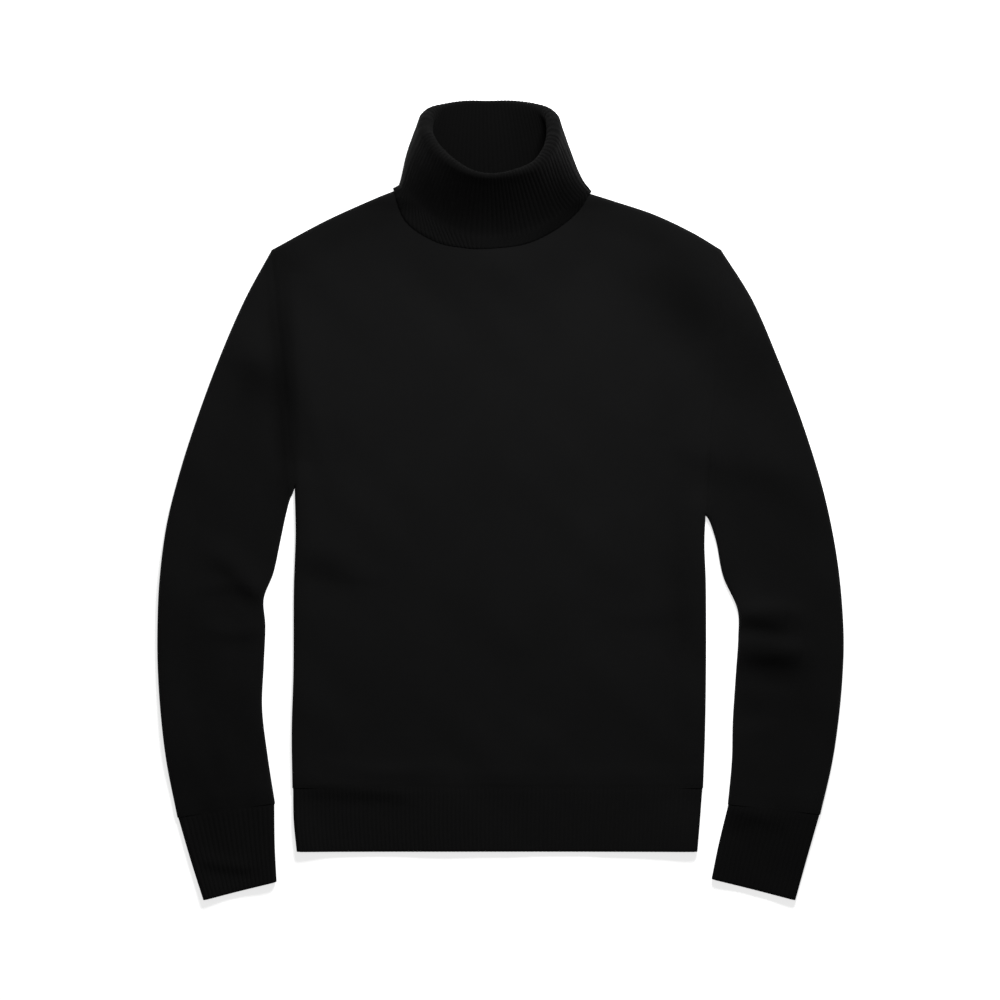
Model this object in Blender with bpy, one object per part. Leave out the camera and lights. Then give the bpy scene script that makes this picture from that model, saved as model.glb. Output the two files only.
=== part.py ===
"""A black fine-gauge turtleneck sweater, laid out flat on its back.

Metres, +Z up. The garment lies on the XY plane with its neck towards +Y and its front up. Left and
right are the wearer's, so the left sleeve is at +X. Each knitted piece is a closed wall of cloth:
front and back panels, two sleeves, two cuffs, a hem rib and a collar that is folded over once.
"""

import math
from collections import namedtuple

import bmesh
import bpy
import numpy as np

NAME = "turtleneck_sweater"

# Cloth
WALL = 0.0018           # thickness of the knit
SEAM = 0.0003           # gap between two pieces that are sewn together
FOLD_REACH = 0.0036     # how far in from a folded edge the cloth turns over
FOLD_HEIGHT = 0.0072    # height of the two layers beside a folded edge
FLAT_HEIGHT = 0.0046    # height of the two layers where they lie on each other
FOLD_FADE = 0.034       # how far in from the edge the height falls from one to the other

# Neck
NECK_DROP = 0.049       # how far the front neck dips below the shoulders
NECK_RISE = 0.006       # how far the back neck is raised above them
NECK_ROUNDNESS = 2.3
NECK_LIFT = 0.0045      # how far the collar pulls the front neck up
LIFT_FULL = 0.030       # how far from the neck's middle the lift is whole
LIFT_END = 0.105        # and where it has gone
LIFT_WIDTH = 1.25       # how much wider than deep the lifted part is
UNDER_LIFT = 0.0021     # how far the collar's lower layer lifts the back neck
UNDER_LIFT_START = 0.288    # y where the back starts to rise
UNDER_LIFT_END = 0.303      # y where it has risen
UNDER_LIFT_INSIDE = 0.112   # how far to each side of the neck's middle it stays risen
UNDER_LIFT_OUTSIDE = 0.135  # and where it lies on the floor again

# Collar
ROLL = 0.0025           # radius of the soft roll at the rim, to the middle of the wall
SIDE_ROLL = 0.0072      # and at the sides, where it is looser
STAND_RISE = 1.35       # over 1 makes the stand leave the chest flat and then climb
SIDE_SWELL = 0.0022     # how far the collar's sides swell out half-way up
SWELL_LEAN = 0.0010     # how much less on the left, and more on the right
SIDE_LOOSE = 0.0016     # how far the turned-down layer stands off at the sides
FLARE = 0.0060          # how far its foot spreads on the shoulders
FLARE_LEAN = 0.0020     # how much more on the left, and less on the right
FLARE_SHAPE = 4.0       # over 1 keeps the spread near the foot
SIDE_SEAM = 0.0012      # gap at the neck seam's two ends, where the layers turn over
SIDE_TURN = 0.12        # cosine of the turn over which the collar passes from front to back
REST_GAP = 0.0017       # gap under the turned-down layer where it rests on the front

# Ribs
RIB_HEIGHT = 0.0066     # height of the two layers of a hem or cuff rib
RIB_PULL = 0.0006       # how far a rib draws each edge in where it is linked on
LEAST_SLANT = 0.35      # limits how far a wall runs on where a sleeve's edge meets its seam aslant

# How finely the pieces are divided
FOLD_STEPS = (0.0, 0.0005, 0.0016, 0.0036, 0.020)    # distances in from a folded edge
PANEL_ROWS_BELOW = 6    # rows from the hem rib to the underarm
PANEL_ROWS_ABOVE = 7    # rows from the underarm to the shoulder's fold
SHOULDER_COLUMNS = 3
SLEEVE_ROWS = 14
CUFF_ROWS = 3
TUBE_COLUMNS = 5        # columns between the folds of a sleeve, cuff or hem rib
FRONT_TURNS = np.linspace(-83.0, 83.0, 15)      # the collar's sections over the front, in degrees
BACK_TURNS = np.linspace(97.0, 263.0, 11)       # and over the back
STAND_SHARES = (0.0, 0.14, 0.36, 0.60, 0.85, 1.0)
ROLL_STEPS = 4
HANG_SHARES = (0.4, 1.0)

# Where the panels' corners lie, as shares along and across them
BODY_WIDTH = 0.41
BODY_LENGTH = 0.54
UNDERARM = 0.53
NECK_START = 0.295
NECK_END = 0.684
FOLD_SHARES = np.array(FOLD_STEPS) / BODY_WIDTH

# Black, and how matt it is
KNIT_BLACK = (0.0075, 0.0075, 0.0078)
RIB_BLACK = (0.0065, 0.0065, 0.0068)
KNIT_ROUGHNESS = 0.95

Point = namedtuple("Point", "x y")
Station = namedtuple("Station", "outer_x outer_y inner_x inner_y")
CollarSection = namedtuple("CollarSection", "turn rim_x rim_y rim_z edge_x edge_y")

# Side seams, from the hem rib up to the underarm
SIDE_RIGHT = (
    Point(-0.2078, -0.2870),
    Point(-0.2085, -0.2300),
    Point(-0.2068, -0.1700),
    Point(-0.2064, -0.0900),
    Point(-0.2046, -0.0350),
    Point(-0.2055, 0.0130),
)
SIDE_LEFT = (
    Point(0.2022, -0.2870),
    Point(0.2042, -0.2300),
    Point(0.2052, -0.1600),
    Point(0.2050, -0.0850),
    Point(0.2036, -0.0450),
    Point(0.2046, -0.0150),
)

# Shoulder seams, from the armhole to the neck
SHOULDER_RIGHT = (
    Point(-0.2287, 0.2500),
    Point(-0.1740, 0.2795),
    Point(-0.1215, 0.3030),
    Point(-0.0960, 0.3122),
)
SHOULDER_LEFT = (
    Point(0.2206, 0.2500),
    Point(0.1905, 0.2680),
    Point(0.1525, 0.2858),
    Point(0.1110, 0.2995),
    Point(0.0785, 0.3095),
)

# Sleeves, from the armhole to the cuff: the outer edge is the fold away from the body
SLEEVE_RIGHT = (
    Station(-0.2287, 0.2500, -0.2055, 0.0130),
    Station(-0.2555, 0.2000, -0.2078, 0.0060),
    Station(-0.2815, 0.1400, -0.2105, 0.0000),
    Station(-0.3050, 0.0760, -0.2150, -0.0180),
    Station(-0.3225, 0.0200, -0.2200, -0.0420),
    Station(-0.3340, -0.0280, -0.2265, -0.0720),
    Station(-0.3405, -0.0800, -0.2362, -0.0980),
    Station(-0.3425, -0.1280, -0.2346, -0.1260),
    Station(-0.3420, -0.1720, -0.2362, -0.1640),
    Station(-0.3388, -0.2180, -0.2378, -0.2080),
    Station(-0.3330, -0.2640, -0.2322, -0.2560),
    Station(-0.3226, -0.3160, -0.2250, -0.3020),
)
SLEEVE_LEFT = (
    Station(0.2206, 0.2500, 0.2046, -0.0150),
    Station(0.2515, 0.2000, 0.2070, -0.0180),
    Station(0.2775, 0.1400, 0.2098, -0.0240),
    Station(0.3005, 0.0800, 0.2128, -0.0330),
    Station(0.3195, 0.0200, 0.2160, -0.0450),
    Station(0.3312, -0.0300, 0.2222, -0.0760),
    Station(0.3388, -0.0800, 0.2362, -0.1080),
    Station(0.3425, -0.1340, 0.2372, -0.1360),
    Station(0.3412, -0.1780, 0.2346, -0.1760),
    Station(0.3370, -0.2220, 0.2318, -0.2200),
    Station(0.3306, -0.2640, 0.2308, -0.2600),
    Station(0.3192, -0.3130, 0.2268, -0.3030),
)

# Cuffs, from half-way down to the free end; they start at the sleeve's last station
CUFF_RIGHT = (
    Station(-0.3094, -0.3590, -0.2252, -0.3430),
    Station(-0.2968, -0.3985, -0.2234, -0.3800),
)
CUFF_LEFT = (
    Station(0.3068, -0.3540, 0.2178, -0.3420),
    Station(0.2944, -0.3985, 0.2106, -0.3772),
)

# Hem rib, from half-way down to the free end; its outer edge is at the wearer's right
HEM = (
    Station(-0.2066, -0.3190, 0.1992, -0.3190),
    Station(-0.2036, -0.3500, 0.1966, -0.3500),
)

# The collar, by sections round the neck: turn is 0 at the front's middle and 90 at the wearer's left.
# The rim is where the inner layer meets the roll; the edge is the free end of the turned-down layer.
COLLAR = (
    CollarSection(0, -0.0100, 0.3230, 0.0500, -0.0120, 0.2515),
    CollarSection(24, 0.0120, 0.3262, 0.0490, 0.0240, 0.2560),
    CollarSection(47, 0.0315, 0.3335, 0.0440, 0.0530, 0.2690),
    CollarSection(68, 0.0430, 0.3455, 0.0350, 0.0760, 0.2870),
    CollarSection(83, 0.0468, 0.3560, 0.0275, 0.0885, 0.3050),
    CollarSection(90, 0.0474, 0.3610, 0.0240, 0.0905, 0.3080),
    CollarSection(97, 0.0472, 0.3665, 0.0205, 0.0890, 0.3102),
    CollarSection(112, 0.0450, 0.3775, 0.0140, 0.0790, 0.3110),
    CollarSection(135, 0.0345, 0.3900, 0.0075, 0.0520, 0.3125),
    CollarSection(158, 0.0120, 0.3952, 0.0060, 0.0200, 0.3130),
    CollarSection(180, -0.0120, 0.3956, 0.0059, -0.0100, 0.3130),
    CollarSection(202, -0.0360, 0.3950, 0.0060, -0.0400, 0.3130),
    CollarSection(225, -0.0575, 0.3895, 0.0075, -0.0710, 0.3130),
    CollarSection(248, -0.0670, 0.3785, 0.0140, -0.0950, 0.3122),
    CollarSection(263, -0.0692, 0.3690, 0.0195, -0.1052, 0.3122),
    CollarSection(270, -0.0695, 0.3640, 0.0230, -0.1068, 0.3114),
    CollarSection(277, -0.0685, 0.3592, 0.0265, -0.1062, 0.3085),
    CollarSection(292, -0.0625, 0.3495, 0.0320, -0.0945, 0.2785),
    CollarSection(313, -0.0480, 0.3375, 0.0410, -0.0660, 0.2590),
    CollarSection(336, -0.0300, 0.3270, 0.0475, -0.0380, 0.2525),
)


def ease(low, high, value):
    """0 below low, 1 above high, and a smooth step between."""
    share = np.clip((value - low) / (high - low), 0.0, 1.0)
    return share * share * (3.0 - 2.0 * share)


def cubic(before, start, end, after, share):
    """A Catmull-Rom span from start to end."""
    return 0.5 * (
        2.0 * start
        + (end - before) * share
        + (2.0 * before - 5.0 * start + 4.0 * end - after) * share**2
        + (3.0 * start - before - 3.0 * end + after) * share**3
    )


def track(points, dense=24):
    """A function from 0..1, by length, to points on a smooth curve through these."""
    knots = np.array(points, float)
    before = 2.0 * knots[0] - knots[1]
    after = 2.0 * knots[-1] - knots[-2]
    padded = np.vstack([before, knots, after])
    shares = np.linspace(0.0, 1.0, dense, endpoint=False)[:, None]
    spans = [cubic(*padded[k:k + 4], shares) for k in range(len(knots) - 1)]
    line = np.vstack(spans + [knots[-1:]])
    steps = np.linalg.norm(np.diff(line, axis=0), axis=1)
    reached = np.concatenate([[0.0], np.cumsum(steps)])
    reached /= reached[-1]

    def place(share):
        return np.stack(
            [np.interp(share, reached, line[:, k]) for k in range(line.shape[1])], axis=-1
        )

    return place


def joined(parts):
    """One function from 0..1 over several, given as pairs of where each starts and its function."""
    starts = [start for start, _ in parts]
    ends = starts[1:] + [1.0]

    def place(share):
        share = np.asarray(share, float)
        result = None
        for start, end, (_, part) in zip(starts, ends, parts):
            here = part(np.clip((share - start) / (end - start), 0.0, 1.0))
            if result is None:
                result = here
            else:
                result = np.where((share > start)[..., None], here, result)
        return result

    return place


def backwards(place):
    return lambda share: place(1.0 - np.asarray(share, float))


def inset(place, side, amount):
    """The same curve moved sideways: side is 1 for the left of its direction, -1 for the right."""

    def moved(share):
        share = np.asarray(share, float)
        run = place(np.clip(share + 0.002, 0.0, 1.0)) - place(np.clip(share - 0.002, 0.0, 1.0))
        run /= np.linalg.norm(run, axis=-1, keepdims=True)
        across = np.stack([-run[..., 1], run[..., 0]], axis=-1)
        return place(share) + side * amount * across

    return moved


def between(start, place, end, fade=0.06):
    """The same curve with its two ends moved to these points."""
    start_move = start - place(0.0)
    end_move = end - place(1.0)

    def moved(share):
        share = np.asarray(share, float)
        near_start = 1.0 - ease(0.0, fade, share)
        near_end = ease(1.0 - fade, 1.0, share)
        return place(share) + near_start[..., None] * start_move + near_end[..., None] * end_move

    return moved


def straight(start, end):
    return lambda share: start + (end - start) * np.asarray(share, float)[..., None]


def seam_line(station):
    """The armhole seam, which is the first station of a sleeve, from the underarm to the shoulder."""
    underarm = np.array([station.inner_x, station.inner_y])
    shoulder = np.array([station.outer_x, station.outer_y])
    return straight(underarm, shoulder)


def linked(station, pull):
    """The first station of a rib that is linked to a tube's last one."""
    outer = np.array([station.outer_x, station.outer_y])
    inner = np.array([station.inner_x, station.inner_y])
    across = (inner - outer) / np.linalg.norm(inner - outer)
    onward = np.array([across[1], -across[0]]) * np.sign(across[0])
    outer = outer + pull * across + SEAM * onward
    inner = inner - pull * across + SEAM * onward
    return Station(*outer, *inner)


NECK_MIDDLE = (SHOULDER_RIGHT[-1].x + SHOULDER_LEFT[-1].x) / 2.0
NECK_HALF = (SHOULDER_LEFT[-1].x - SHOULDER_RIGHT[-1].x) / 2.0
HEM_TOP = Station(SIDE_RIGHT[0].x, SIDE_RIGHT[0].y, SIDE_LEFT[0].x, SIDE_LEFT[0].y)
TUBES = {
    "sleeve_right": (linked(SLEEVE_RIGHT[0], 0.0),) + SLEEVE_RIGHT[1:],
    "sleeve_left": (linked(SLEEVE_LEFT[0], 0.0),) + SLEEVE_LEFT[1:],
    "cuff_right": (linked(SLEEVE_RIGHT[-1], RIB_PULL),) + CUFF_RIGHT,
    "cuff_left": (linked(SLEEVE_LEFT[-1], RIB_PULL),) + CUFF_LEFT,
    "hem_rib": (linked(HEM_TOP, RIB_PULL),) + HEM,
}


def edges_of(stations):
    """The two folded edges of a tube, outer and inner."""
    line = track(stations)
    return (lambda share: line(share)[..., :2]), (lambda share: line(share)[..., 2:])


FOLDED_EDGES = [track(points) for points in (SIDE_RIGHT, SIDE_LEFT, SHOULDER_RIGHT, SHOULDER_LEFT)]
for stations in TUBES.values():
    FOLDED_EDGES.extend(edges_of(stations))
EDGE_LINES = [edge(np.linspace(0.0, 1.0, 160)) for edge in FOLDED_EDGES]


def edge_distance(plan):
    """How far each place lies from the nearest folded edge of the garment."""
    flat = plan.reshape(-1, 2)
    nearest = np.full(len(flat), np.inf)
    for line in EDGE_LINES:
        start = line[:-1]
        run = line[1:] - start
        offset = flat[:, None] - start[None]
        share = np.clip((offset * run).sum(-1) / (run * run).sum(-1), 0.0, 1.0)
        gap = offset - share[..., None] * run
        nearest = np.minimum(nearest, np.linalg.norm(gap, axis=-1).min(axis=1))
    return nearest.reshape(plan.shape[:-1])


def neck_line(share, front):
    """The neck seam from the right shoulder to the left one."""
    share = np.asarray(share, float)
    start = np.array(SHOULDER_RIGHT[-1])
    end = np.array(SHOULDER_LEFT[-1])
    line = start + (end - start) * share[..., None]
    bow = 1.0 - np.abs(2.0 * share - 1.0) ** NECK_ROUNDNESS
    line[..., 1] += -NECK_DROP * bow if front else NECK_RISE * bow
    return line


def under_lift(plan):
    """How far the turned-down collar lifts the back, which lies on it."""
    rise = ease(UNDER_LIFT_START, UNDER_LIFT_END, plan[..., 1])
    aside = np.abs(plan[..., 0] - NECK_MIDDLE)
    return UNDER_LIFT * rise * (1.0 - ease(UNDER_LIFT_INSIDE, UNDER_LIFT_OUTSIDE, aside))


def top_lift(plan):
    """How far the front is raised towards the neck."""
    front_middle = np.array([NECK_MIDDLE, SHOULDER_RIGHT[-1].y - NECK_DROP * 0.6])
    reach = np.linalg.norm((plan - front_middle) / [LIFT_WIDTH, 1.0], axis=-1)
    return under_lift(plan) + NECK_LIFT * (1.0 - ease(LIFT_FULL, LIFT_END, reach))


def heights(plan, tall=FOLD_HEIGHT):
    """Height of the garment's underside and upper side, before its edges turn over."""
    distance = edge_distance(plan)
    bead = 1.0 - ease(FOLD_REACH, FOLD_FADE, distance)
    bottom = under_lift(plan)
    top = FLAT_HEIGHT + (tall - FLAT_HEIGHT) * bead + top_lift(plan)
    return bottom, top, distance


def layer(plan, upper, outside, gap=SEAM, tall=FOLD_HEIGHT):
    """Points of one face of one layer of cloth over these places.

    upper picks the upper or the lower layer, outside its outer or its inner face; gap is left
    between the two layers where they meet at a folded edge.
    """
    bottom, top, distance = heights(plan, tall)
    middle = (bottom + top) / 2.0
    half = (top - bottom) / 2.0
    reach = FOLD_REACH
    if not outside:
        distance = distance - WALL
        reach = FOLD_REACH - WALL
        half = half - WALL
    turned = np.clip(1.0 - distance / reach, 0.0, 1.0)
    spread = gap / 2.0 + (half - gap / 2.0) * np.sqrt(1.0 - turned**2)
    height = middle + spread if upper else middle - spread
    return np.concatenate([plan, height[..., None]], axis=-1)


def coons(left, right, bottom, top, across, along):
    """A grid of places inside four curves, with a row for each value of along."""
    u = across[None, :, None]
    v = along[:, None, None]
    sides = (1 - u) * left(along)[:, None] + u * right(along)[:, None]
    ends = (1 - v) * bottom(across)[None] + v * top(across)[None]
    low_left, low_right = bottom(np.array([0.0, 1.0]))
    high_left, high_right = top(np.array([0.0, 1.0]))
    corners = (1 - v) * ((1 - u) * low_left + u * low_right)
    corners = corners + v * ((1 - u) * high_left + u * high_right)
    return sides + ends - corners


def shell(outer, inner, ring):
    """A closed wall between two grids of the same size; ring joins each row's end to its start."""
    rows, columns = outer.shape[:2]
    points = np.concatenate([outer.reshape(-1, 3), inner.reshape(-1, 3)])
    shift = rows * columns
    spans = columns if ring else columns - 1
    faces = []
    for row in range(rows - 1):
        for column in range(spans):
            beside = (column + 1) % columns
            quad = [row * columns + column, row * columns + beside]
            quad += [index + columns for index in reversed(quad)]
            faces.append(quad)
            faces.append([index + shift for index in quad])
    for row in (0, rows - 1):
        for column in range(spans):
            start = row * columns + column
            end = row * columns + (column + 1) % columns
            faces.append([start, end, end + shift, start + shift])
    if not ring:
        for column in (0, columns - 1):
            for row in range(rows - 1):
                start = row * columns + column
                end = start + columns
                faces.append([start, end, end + shift, start + shift])
    return points, faces


def knit_material(name, colour, roughness):
    material = bpy.data.materials.new(name)
    material.use_nodes = True
    shader = material.node_tree.nodes["Principled BSDF"]
    shader.inputs["Base Color"].default_value = (*colour, 1.0)
    shader.inputs["Roughness"].default_value = roughness
    shader.inputs["Metallic"].default_value = 0.0
    return material


def add_piece(name, points, faces, colour):
    """One knitted piece as an object of its own, with its faces pointing out."""
    mesh = bpy.data.meshes.new(name)
    mesh.from_pydata([tuple(point) for point in points], [], faces)
    work = bmesh.new()
    work.from_mesh(mesh)
    bmesh.ops.recalc_face_normals(work, faces=work.faces)
    work.to_mesh(mesh)
    work.free()
    mesh.shade_smooth()
    mesh.set_sharp_from_angle(angle=math.radians(40.0))
    mesh.materials.append(knit_material(name + "_knit", colour, KNIT_ROUGHNESS))
    piece = bpy.data.objects.new(name, mesh)
    bpy.data.collections[NAME].objects.link(piece)
    return piece


def panel(name, upper):
    """The front or the back, from the hem rib to the shoulders and the neck."""
    neck_turns = np.radians(FRONT_TURNS if upper else 180.0 - BACK_TURNS[::-1])
    across = np.concatenate([
        FOLD_SHARES,
        np.linspace(FOLD_SHARES[-1], NECK_START, SHOULDER_COLUMNS)[1:],
        NECK_START + (NECK_END - NECK_START) * (0.5 + 0.5 * np.sin(neck_turns)),
        [NECK_END],
        np.linspace(NECK_END, 1.0 - FOLD_SHARES[-1], SHOULDER_COLUMNS)[1:],
        1.0 - FOLD_SHARES[-2::-1],
    ])
    below_fold = 1.0 - np.array(FOLD_STEPS[::-1]) / BODY_LENGTH
    along = np.concatenate([
        np.linspace(0.0, UNDERARM, PANEL_ROWS_BELOW),
        np.linspace(UNDERARM, below_fold[0], PANEL_ROWS_ABOVE)[1:],
        below_fold[1:],
    ])
    faces = []
    for outside in (True, False):
        turn_in = 0.0 if outside else WALL
        side_right = inset(track(SIDE_RIGHT), -1, turn_in)
        side_left = inset(track(SIDE_LEFT), 1, turn_in)
        shoulder_right = inset(track(SHOULDER_RIGHT), -1, turn_in)
        shoulder_left = inset(track(SHOULDER_LEFT), 1, turn_in)
        armhole_right = between(side_right(1.0), seam_line(SLEEVE_RIGHT[0]), shoulder_right(0.0))
        armhole_left = between(side_left(1.0), seam_line(SLEEVE_LEFT[0]), shoulder_left(0.0))
        neck = between(
            shoulder_right(1.0), lambda share: neck_line(share, upper), shoulder_left(1.0)
        )
        plan = coons(
            joined([(0.0, side_right), (UNDERARM, armhole_right)]),
            joined([(0.0, side_left), (UNDERARM, armhole_left)]),
            straight(side_right(0.0), side_left(0.0)),
            joined([(0.0, shoulder_right), (NECK_START, neck), (NECK_END, backwards(shoulder_left))]),
            across,
            along,
        )
        faces.append(layer(plan, upper, outside))
    return add_piece(name, *shell(*faces, ring=False), KNIT_BLACK)


def tube_rows(stations, rows, turn_in):
    """Places across a flattened tube, a row for each section, from its outer edge to its inner."""
    shares = np.linspace(0.0, 1.0, rows)
    line = track(stations)(shares)
    run = track(stations)(np.clip(shares + 0.01, 0, 1)) - track(stations)(np.clip(shares - 0.01, 0, 1))
    outer, inner = line[:, :2], line[:, 2:]
    across = inner - outer
    width = np.linalg.norm(across, axis=1)
    starts = []
    for edge_run in (run[:, :2], run[:, 2:]):
        cross = edge_run[:, 0] * across[:, 1] - edge_run[:, 1] * across[:, 0]
        slant = np.abs(cross) / width / np.linalg.norm(edge_run, axis=1)
        starts.append(turn_in / width / np.maximum(slant, LEAST_SLANT))
    plan = []
    for row in range(rows):
        near = np.array(FOLD_STEPS) / width[row]
        middle = np.linspace(near[-1], 1.0 - near[-1], TUBE_COLUMNS)[1:-1]
        share = np.concatenate([near, middle, 1.0 - near[::-1]])
        share = starts[0][row] + share * (1.0 - starts[0][row] - starts[1][row])
        plan.append(outer[row] + share[:, None] * across[row])
    return np.array(plan)


def tube(name, rows, colour, tall=FOLD_HEIGHT):
    """A sleeve, a cuff or the hem rib: a knitted tube that lies flat."""
    faces = []
    for outside in (True, False):
        plan = tube_rows(TUBES[name], rows, 0.0 if outside else WALL)
        gap = 0.0 if outside else SEAM
        above = layer(plan, True, outside, gap, tall)
        below = layer(plan, False, outside, gap, tall)
        faces.append(np.concatenate([above, below[:, -2:0:-1]], axis=1))
    return add_piece(name, *shell(*faces, ring=True), colour)


def collar_table(turns):
    """The collar's sections at these turns, on a smooth closed curve through the table's rows."""
    rows = np.array(COLLAR, float)
    count = len(rows)
    places = []
    for turn in turns:
        first = np.searchsorted(rows[:, 0], turn, side="right") - 1
        picked = rows[[(first + k) % count for k in (-1, 0, 1, 2)]]
        end_turn = picked[2][0] if first + 1 < count else 360.0
        share = (turn - picked[1][0]) / (end_turn - picked[1][0])
        places.append(cubic(*picked[:, 1:], share))
    return np.array(places)


def normals_of(grid):
    """Unit normals of a grid whose rows are closed rings, pointing out of the ring."""
    around = np.roll(grid, -1, axis=1) - np.roll(grid, 1, axis=1)
    along = np.gradient(grid, axis=0)
    normal = np.cross(around, along)
    return normal / np.linalg.norm(normal, axis=-1, keepdims=True)


def neck_ring(turns, outside):
    """The collar's end at the neck seam, round the front and the back of the neck."""
    share = 0.5 + 0.5 * np.sin(turns)
    trim = 0.0 if outside else WALL / (2.0 * NECK_HALF)
    share = trim + share * (1.0 - 2.0 * trim)
    front = layer(neck_line(share, True), True, outside)
    back = layer(neck_line(share, False), False, outside)
    front_share = ease(-SIDE_TURN, SIDE_TURN, np.cos(turns))[:, None]
    ring = back + (front - back) * front_share
    run = neck_line(np.clip(share + 0.01, 0, 1), True) - neck_line(np.clip(share - 0.01, 0, 1), True)
    into = np.stack([-run[:, 1], run[:, 0]], axis=-1) / np.linalg.norm(run, axis=-1)[:, None]
    into = np.where(np.cos(turns)[:, None] > 0.0, into, [0.0, 1.0])
    at_side = np.abs(np.cos(turns)) < 2.0 * SIDE_TURN
    ring[:, :2] += np.where(at_side[:, None], SIDE_SEAM, SEAM) * into
    return ring


def collar():
    """One rib tube: up the stand from the neck seam, over the soft roll and down outside."""
    degrees = np.concatenate([FRONT_TURNS[FRONT_TURNS >= 0.0], [90.0], BACK_TURNS, [270.0]])
    degrees = np.concatenate([degrees, 360.0 + FRONT_TURNS[FRONT_TURNS < 0.0]])
    turns = np.radians(degrees)
    table = collar_table(degrees)
    rim = table[:, :3]
    edge = table[:, 3:]
    seam_outer = neck_ring(turns, True)
    seam_inner = neck_ring(turns, False)
    seam = (seam_outer + seam_inner) / 2.0
    sideways = np.sin(turns)
    front_share = ease(-SIDE_TURN, SIDE_TURN, np.cos(turns))

    def resting(plan, height):
        """Raised to the top of the front, or to the floor under the back."""
        on_top = heights(plan)[1] + REST_GAP
        return np.maximum(height, WALL / 2.0 + on_top * front_share)

    stand = []
    for share in STAND_SHARES:
        ring = seam + (rim - seam) * share
        ring[:, 2] = seam[:, 2] + (rim[:, 2] - seam[:, 2]) * share**STAND_RISE
        ring[:, 0] += (SIDE_SWELL - SWELL_LEAN * sideways) * math.sin(math.pi * share) * sideways
        stand.append(ring)
    stand = np.array(stand)
    out = normals_of(stand)

    up = stand[-1] - stand[-2]
    up /= np.linalg.norm(up, axis=1, keepdims=True)
    radius = (ROLL + (SIDE_ROLL - ROLL) * sideways**2)[:, None]
    middle = stand[-1] + radius * out[-1]
    roll = []
    for step in range(1, ROLL_STEPS):
        angle = math.pi * step / ROLL_STEPS
        roll.append(middle - radius * math.cos(angle) * out[-1] + radius * math.sin(angle) * up)

    turned_down = []
    for share, ring, normal in zip(STAND_SHARES[::-1], stand[::-1], out[::-1]):
        apart = WALL + SEAM + (2.0 * radius[:, 0] - WALL - SEAM) * share**STAND_RISE
        loose = SIDE_LOOSE * math.sin(math.pi * share) * np.abs(sideways)
        ring = ring + (apart + loose)[:, None] * normal
        foot = (1.0 - share) ** FLARE_SHAPE * sideways * np.abs(sideways)
        ring[:, 0] += (FLARE + FLARE_LEAN * sideways) * foot
        ring[:, 2] = resting(ring[:, :2], ring[:, 2])
        turned_down.append(ring)

    last = turned_down[-1]
    hang = []
    for share in HANG_SHARES:
        plan = last[:, :2] + (edge - last[:, :2]) * share
        height = resting(plan, last[:, 2] * (1.0 - share))
        hang.append(np.concatenate([plan, height[:, None]], axis=1))

    cloth = np.array([*stand, *roll, *turned_down, *hang])
    cloth[..., 2] = np.maximum(cloth[..., 2], WALL / 2.0)
    out = normals_of(cloth)
    outer = cloth + WALL / 2.0 * out
    inner = cloth - WALL / 2.0 * out
    outer[0] = seam_outer
    inner[0] = seam_inner
    for face in (outer, inner):
        face[..., 2] = np.maximum(face[..., 2], 0.0)
    return add_piece("collar", *shell(outer, inner, ring=True), RIB_BLACK)


def main():
    for old in list(bpy.data.objects):
        bpy.data.objects.remove(old, do_unlink=True)
    bpy.context.scene.collection.children.link(bpy.data.collections.new(NAME))
    panel("front", upper=True)
    panel("back", upper=False)
    tube("sleeve_right", SLEEVE_ROWS, KNIT_BLACK)
    tube("sleeve_left", SLEEVE_ROWS, KNIT_BLACK)
    tube("cuff_right", CUFF_ROWS, RIB_BLACK, tall=RIB_HEIGHT)
    tube("cuff_left", CUFF_ROWS, RIB_BLACK, tall=RIB_HEIGHT)
    tube("hem_rib", CUFF_ROWS, RIB_BLACK, tall=RIB_HEIGHT)
    collar()


main()
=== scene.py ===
"""The looks of a black fine-gauge turtleneck sweater, laid out flat on its back.

Metres, apart from the tables given to metres(); +Z up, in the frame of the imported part. Each knitted piece is a thin closed shell on its CAD
solid's form, divided finely enough for its creases, seams and ribs; the stitches are in the
materials. Left and right are the wearer's, so the left sleeve is at +X.
"""

import math

import bpy
import numpy as np
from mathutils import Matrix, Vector
from mathutils.kdtree import KDTree


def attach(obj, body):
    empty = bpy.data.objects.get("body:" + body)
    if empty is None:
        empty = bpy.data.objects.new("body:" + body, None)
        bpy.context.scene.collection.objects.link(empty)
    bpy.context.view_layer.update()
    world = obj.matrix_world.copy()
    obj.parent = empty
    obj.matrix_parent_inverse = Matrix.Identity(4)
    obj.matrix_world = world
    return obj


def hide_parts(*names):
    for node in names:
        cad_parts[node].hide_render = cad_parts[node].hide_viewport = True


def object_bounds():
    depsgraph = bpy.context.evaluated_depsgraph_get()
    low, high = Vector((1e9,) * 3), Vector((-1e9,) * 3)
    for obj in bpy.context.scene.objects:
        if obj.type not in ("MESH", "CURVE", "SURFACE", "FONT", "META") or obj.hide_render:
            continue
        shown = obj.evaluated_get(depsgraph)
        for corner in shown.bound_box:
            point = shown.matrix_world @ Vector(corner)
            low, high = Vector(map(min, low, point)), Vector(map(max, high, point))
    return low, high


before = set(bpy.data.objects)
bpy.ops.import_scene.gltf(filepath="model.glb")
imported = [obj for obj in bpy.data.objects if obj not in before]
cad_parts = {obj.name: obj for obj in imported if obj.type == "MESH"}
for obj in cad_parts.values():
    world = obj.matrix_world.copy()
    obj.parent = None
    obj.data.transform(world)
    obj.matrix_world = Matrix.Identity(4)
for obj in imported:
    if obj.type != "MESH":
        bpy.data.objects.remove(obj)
CAD_LOW, CAD_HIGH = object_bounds()

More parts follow.
